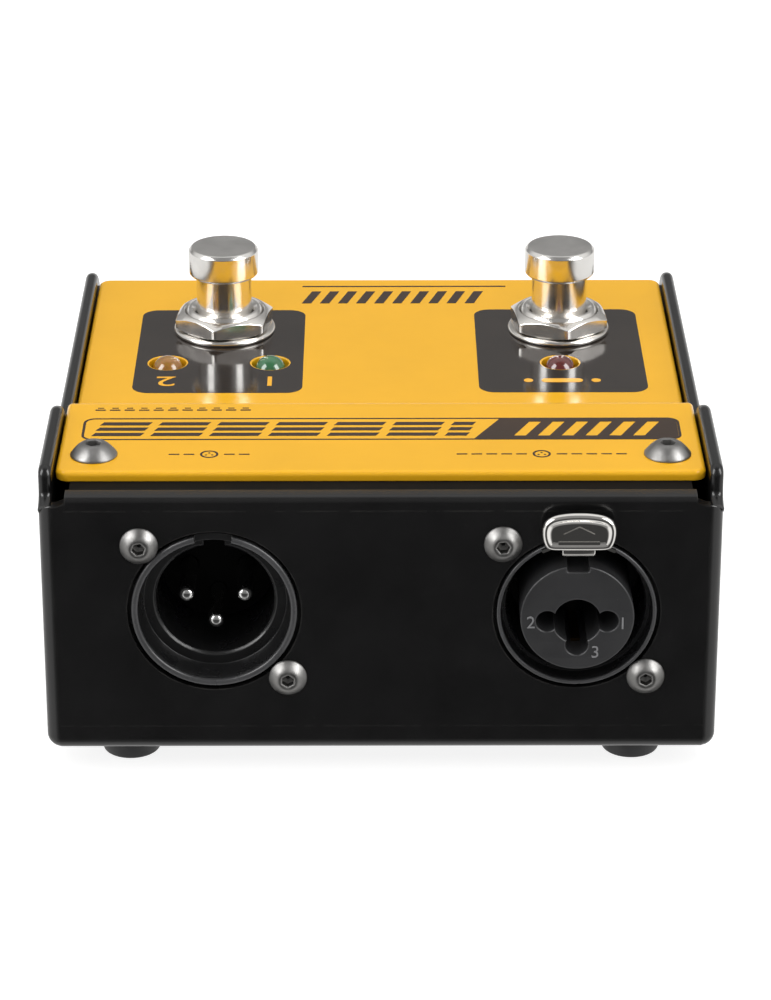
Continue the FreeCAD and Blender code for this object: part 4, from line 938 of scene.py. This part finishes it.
# a plain raised bar and chevron on the tab
bm = bmesh.new()
for shape in ([(-2.9, 11.5), (2.9, 11.5), (2.9, 11.95), (-2.9, 11.95)],
              [(-2.2, 12.5), (0.0, 13.55), (2.2, 12.5), (2.2, 13.05), (0.0, 14.15), (-2.2, 13.05)]):
    ring = rounded(shape, 0.12, 3)
    plated(bm, lambda d: [ring], [(0, -2.42), (0, -2.2)], facing(kx, kz))
make("latch_mark", bm, CHROME, "latch", angle=40)

# ---------------------------------------------------------------------------------- feet
bm = bmesh.new()
for fx in (-36.15, 36.15):
    for fy in (9.5, 92.1):
        lathe(bm, rounded([(1.7, -1.2, 0.05), (2.6, -1.25, 0.25), (2.75, -4.2, 0.35), (4.05, -4.2, 0.55), (4.62, -1.6, 1.2), (4.9, -0.02, 0.12), (1.7, -0.02, 0.05)], 0.2, 5),
              fx, fy, 0, seg=80)
make("rubber_feet_piece", bm, RUBBER, "case", angle=45, replaces=("rubber_feet",))

# --------------------------------------------------------------------- stage and lights
floor_m = bpy.data.materials.new("studio_floor")
floor_m.use_nodes = True
ft = floor_m.node_tree
fb = ft.nodes["Principled BSDF"]
fb.inputs["Base Color"].default_value = (0.42, 0.42, 0.42, 1)
fb.inputs["Roughness"].default_value = 0.9
fb.inputs["Specular IOR Level"].default_value = 0.1
fb.inputs["Emission Color"].default_value = (1, 1, 1, 1)
fb.inputs["Emission Strength"].default_value = 0.85
bm = bmesh.new()
R = 6.0
vs = [bm.verts.new((R * math.cos(a), R * math.sin(a), 0.0)) for a in [2 * math.pi * k / 64 for k in range(64)]]
bm.faces.new(vs)
me = bpy.data.meshes.new("studio_floor")
bm.to_mesh(me)
bm.free()
floor = bpy.data.objects.new("studio_floor", me)
me.materials.append(floor_m)
scene.collection.objects.link(floor)
floor.visible_glossy = False

world = bpy.data.worlds.new("studio")
scene.world = world
world.use_nodes = True
wt = world.node_tree
wt.nodes.clear()


def wn(kind, **props):
    n = wt.nodes.new(kind)
    for k, v in props.items():
        setattr(n, k, v)
    return n


def wmath(op, a, b=0.0, clamp=False):
    n = wn("ShaderNodeMath", operation=op, use_clamp=clamp)
    for i, x in enumerate((a, b)):
        if isinstance(x, (int, float)):
            n.inputs[i].default_value = x
        else:
            wt.links.new(x, n.inputs[i])
    return n.outputs[0]


def wrange(v, a, b, c, d):
    n = wn("ShaderNodeMapRange", interpolation_type="SMOOTHSTEP")
    for i, x in zip(("From Min", "From Max", "To Min", "To Max"), (a, b, c, d)):
        n.inputs[i].default_value = x
    wt.links.new(v, n.inputs["Value"])
    return n.outputs[0]


wo = wn("ShaderNodeOutputWorld")
bg = wn("ShaderNodeBackground")
wt.links.new(bg.outputs[0], wo.inputs[0])
tc_ = wn("ShaderNodeTexCoord")
sx = wn("ShaderNodeSeparateXYZ")
wt.links.new(tc_.outputs["Generated"], sx.inputs[0])
dx, dy, dz = sx.outputs
# soft brightness by height
ramp = wn("ShaderNodeValToRGB")
h = wmath("ADD", wmath("MULTIPLY", dz, 0.5), 0.5)
wt.links.new(h, ramp.inputs[0])
el = ramp.color_ramp.elements
stops = [(-1.0, 0.90), (-0.60, 0.92), (-0.15, 0.95), (0.10, 0.80), (0.30, 0.50), (0.42, 0.75), (0.60, 0.85), (1.0, 0.90)]
while len(el) < len(stops):
    el.new(0.5)
for e, (z, v) in zip(el, stops):
    e.position = (z + 1) / 2
    e.color = (v, v, v, 1)
# darker towards the front and low, as in a studio with the room behind the camera
front = wrange(wmath("MULTIPLY", dy, -1.0), 0.55, 0.86, 0.0, 1.0)
lowish = wrange(dz, 0.02, 0.30, 1.0, 0.0)
notdeep = wrange(dz, -0.93, -0.80, 0.0, 1.0)
mask = wmath("MULTIPLY", wmath("MULTIPLY", front, lowish), notdeep)
behind = wmath("MULTIPLY", wrange(dy, 0.35, 0.75, 0.0, 1.0), wmath("MULTIPLY", wrange(dz, 0.10, 0.22, 0.0, 1.0), wrange(dz, 0.62, 0.80, 1.0, 0.0)))
mask = wmath("ADD", mask, wmath("MULTIPLY", behind, 0.52))
lp = wn("ShaderNodeLightPath")
front_high = wmath("MULTIPLY", wmath("MULTIPLY", wrange(wmath("MULTIPLY", dy, -1.0), -0.12, 0.16, 0.0, 1.0), wrange(wmath("ABSOLUTE", dx), 0.30, 0.62, 1.0, 0.0)), notdeep)
front_high = wmath("MULTIPLY", wmath("MULTIPLY", front_high, 0.74), lp.outputs["Is Glossy Ray"])
mask = wmath("MAXIMUM", mask, front_high)
level = wmath("MULTIPLY", ramp.outputs[0], wmath("SUBTRACT", 1.0, wmath("MULTIPLY", mask, 0.95)))
cam_mix = wn("ShaderNodeMix", data_type="FLOAT")
wt.links.new(lp.outputs["Is Camera Ray"], cam_mix.inputs[0])
wt.links.new(level, cam_mix.inputs[2])
cam_mix.inputs[3].default_value = 1.0
wt.links.new(cam_mix.outputs[0], bg.inputs["Strength"])
bg.inputs["Color"].default_value = (1.0, 0.995, 0.985, 1)


def softbox(name, azimuth, elevation, dist, w, h_, power, colour=(1, 1, 1), seen=True, lit=True):
    """Azimuth 0 is in front of the connector face, positive towards +X."""
    a, e = math.radians(azimuth), math.radians(elevation)
    d = Vector((math.sin(a) * math.cos(e), -math.cos(a) * math.cos(e), math.sin(e)))
    light = bpy.data.lights.new(name, "AREA")
    light.shape = "RECTANGLE"
    light.size, light.size_y = w, h_
    light.energy = power
    light.color = colour
    ob = bpy.data.objects.new(name, light)
    ob.location = Vector((0, 0, 0.03)) + d * dist
    ob.rotation_mode = "QUATERNION"
    ob.rotation_quaternion = d.to_track_quat("Z", "Y")
    scene.collection.objects.link(ob)
    ob.visible_glossy = seen
    ob.visible_diffuse = lit
    return ob


softbox("softbox_left", -64, 34, 1.0, 0.50, 0.80, 8.0, lit=False)
softbox("softbox_right", 64, 34, 1.0, 0.50, 0.80, 8.5, lit=False)
softbox("softbox_top", 0, 84, 1.1, 0.9, 0.6, 6.0, seen=False)
softbox("softbox_wash", 0, 50, 1.2, 0.8, 0.5, 1.6, seen=False)

cam = bpy.data.cameras.new("camera")
cam.lens = 134.42
cam.sensor_width = 36.0
cam.sensor_fit = "AUTO"
cam.clip_start, cam.clip_end = 0.01, 50.0
co = bpy.data.objects.new("camera", cam)
co.location = (-0.001065, -0.521554, 0.25326)
co.rotation_euler = (math.radians(66.023), 0.0, math.radians(-0.205))
scene.collection.objects.link(co)
scene.camera = co
scene.view_settings.view_transform = "Standard"
scene.view_settings.look = "None"

bpy.context.view_layer.update()
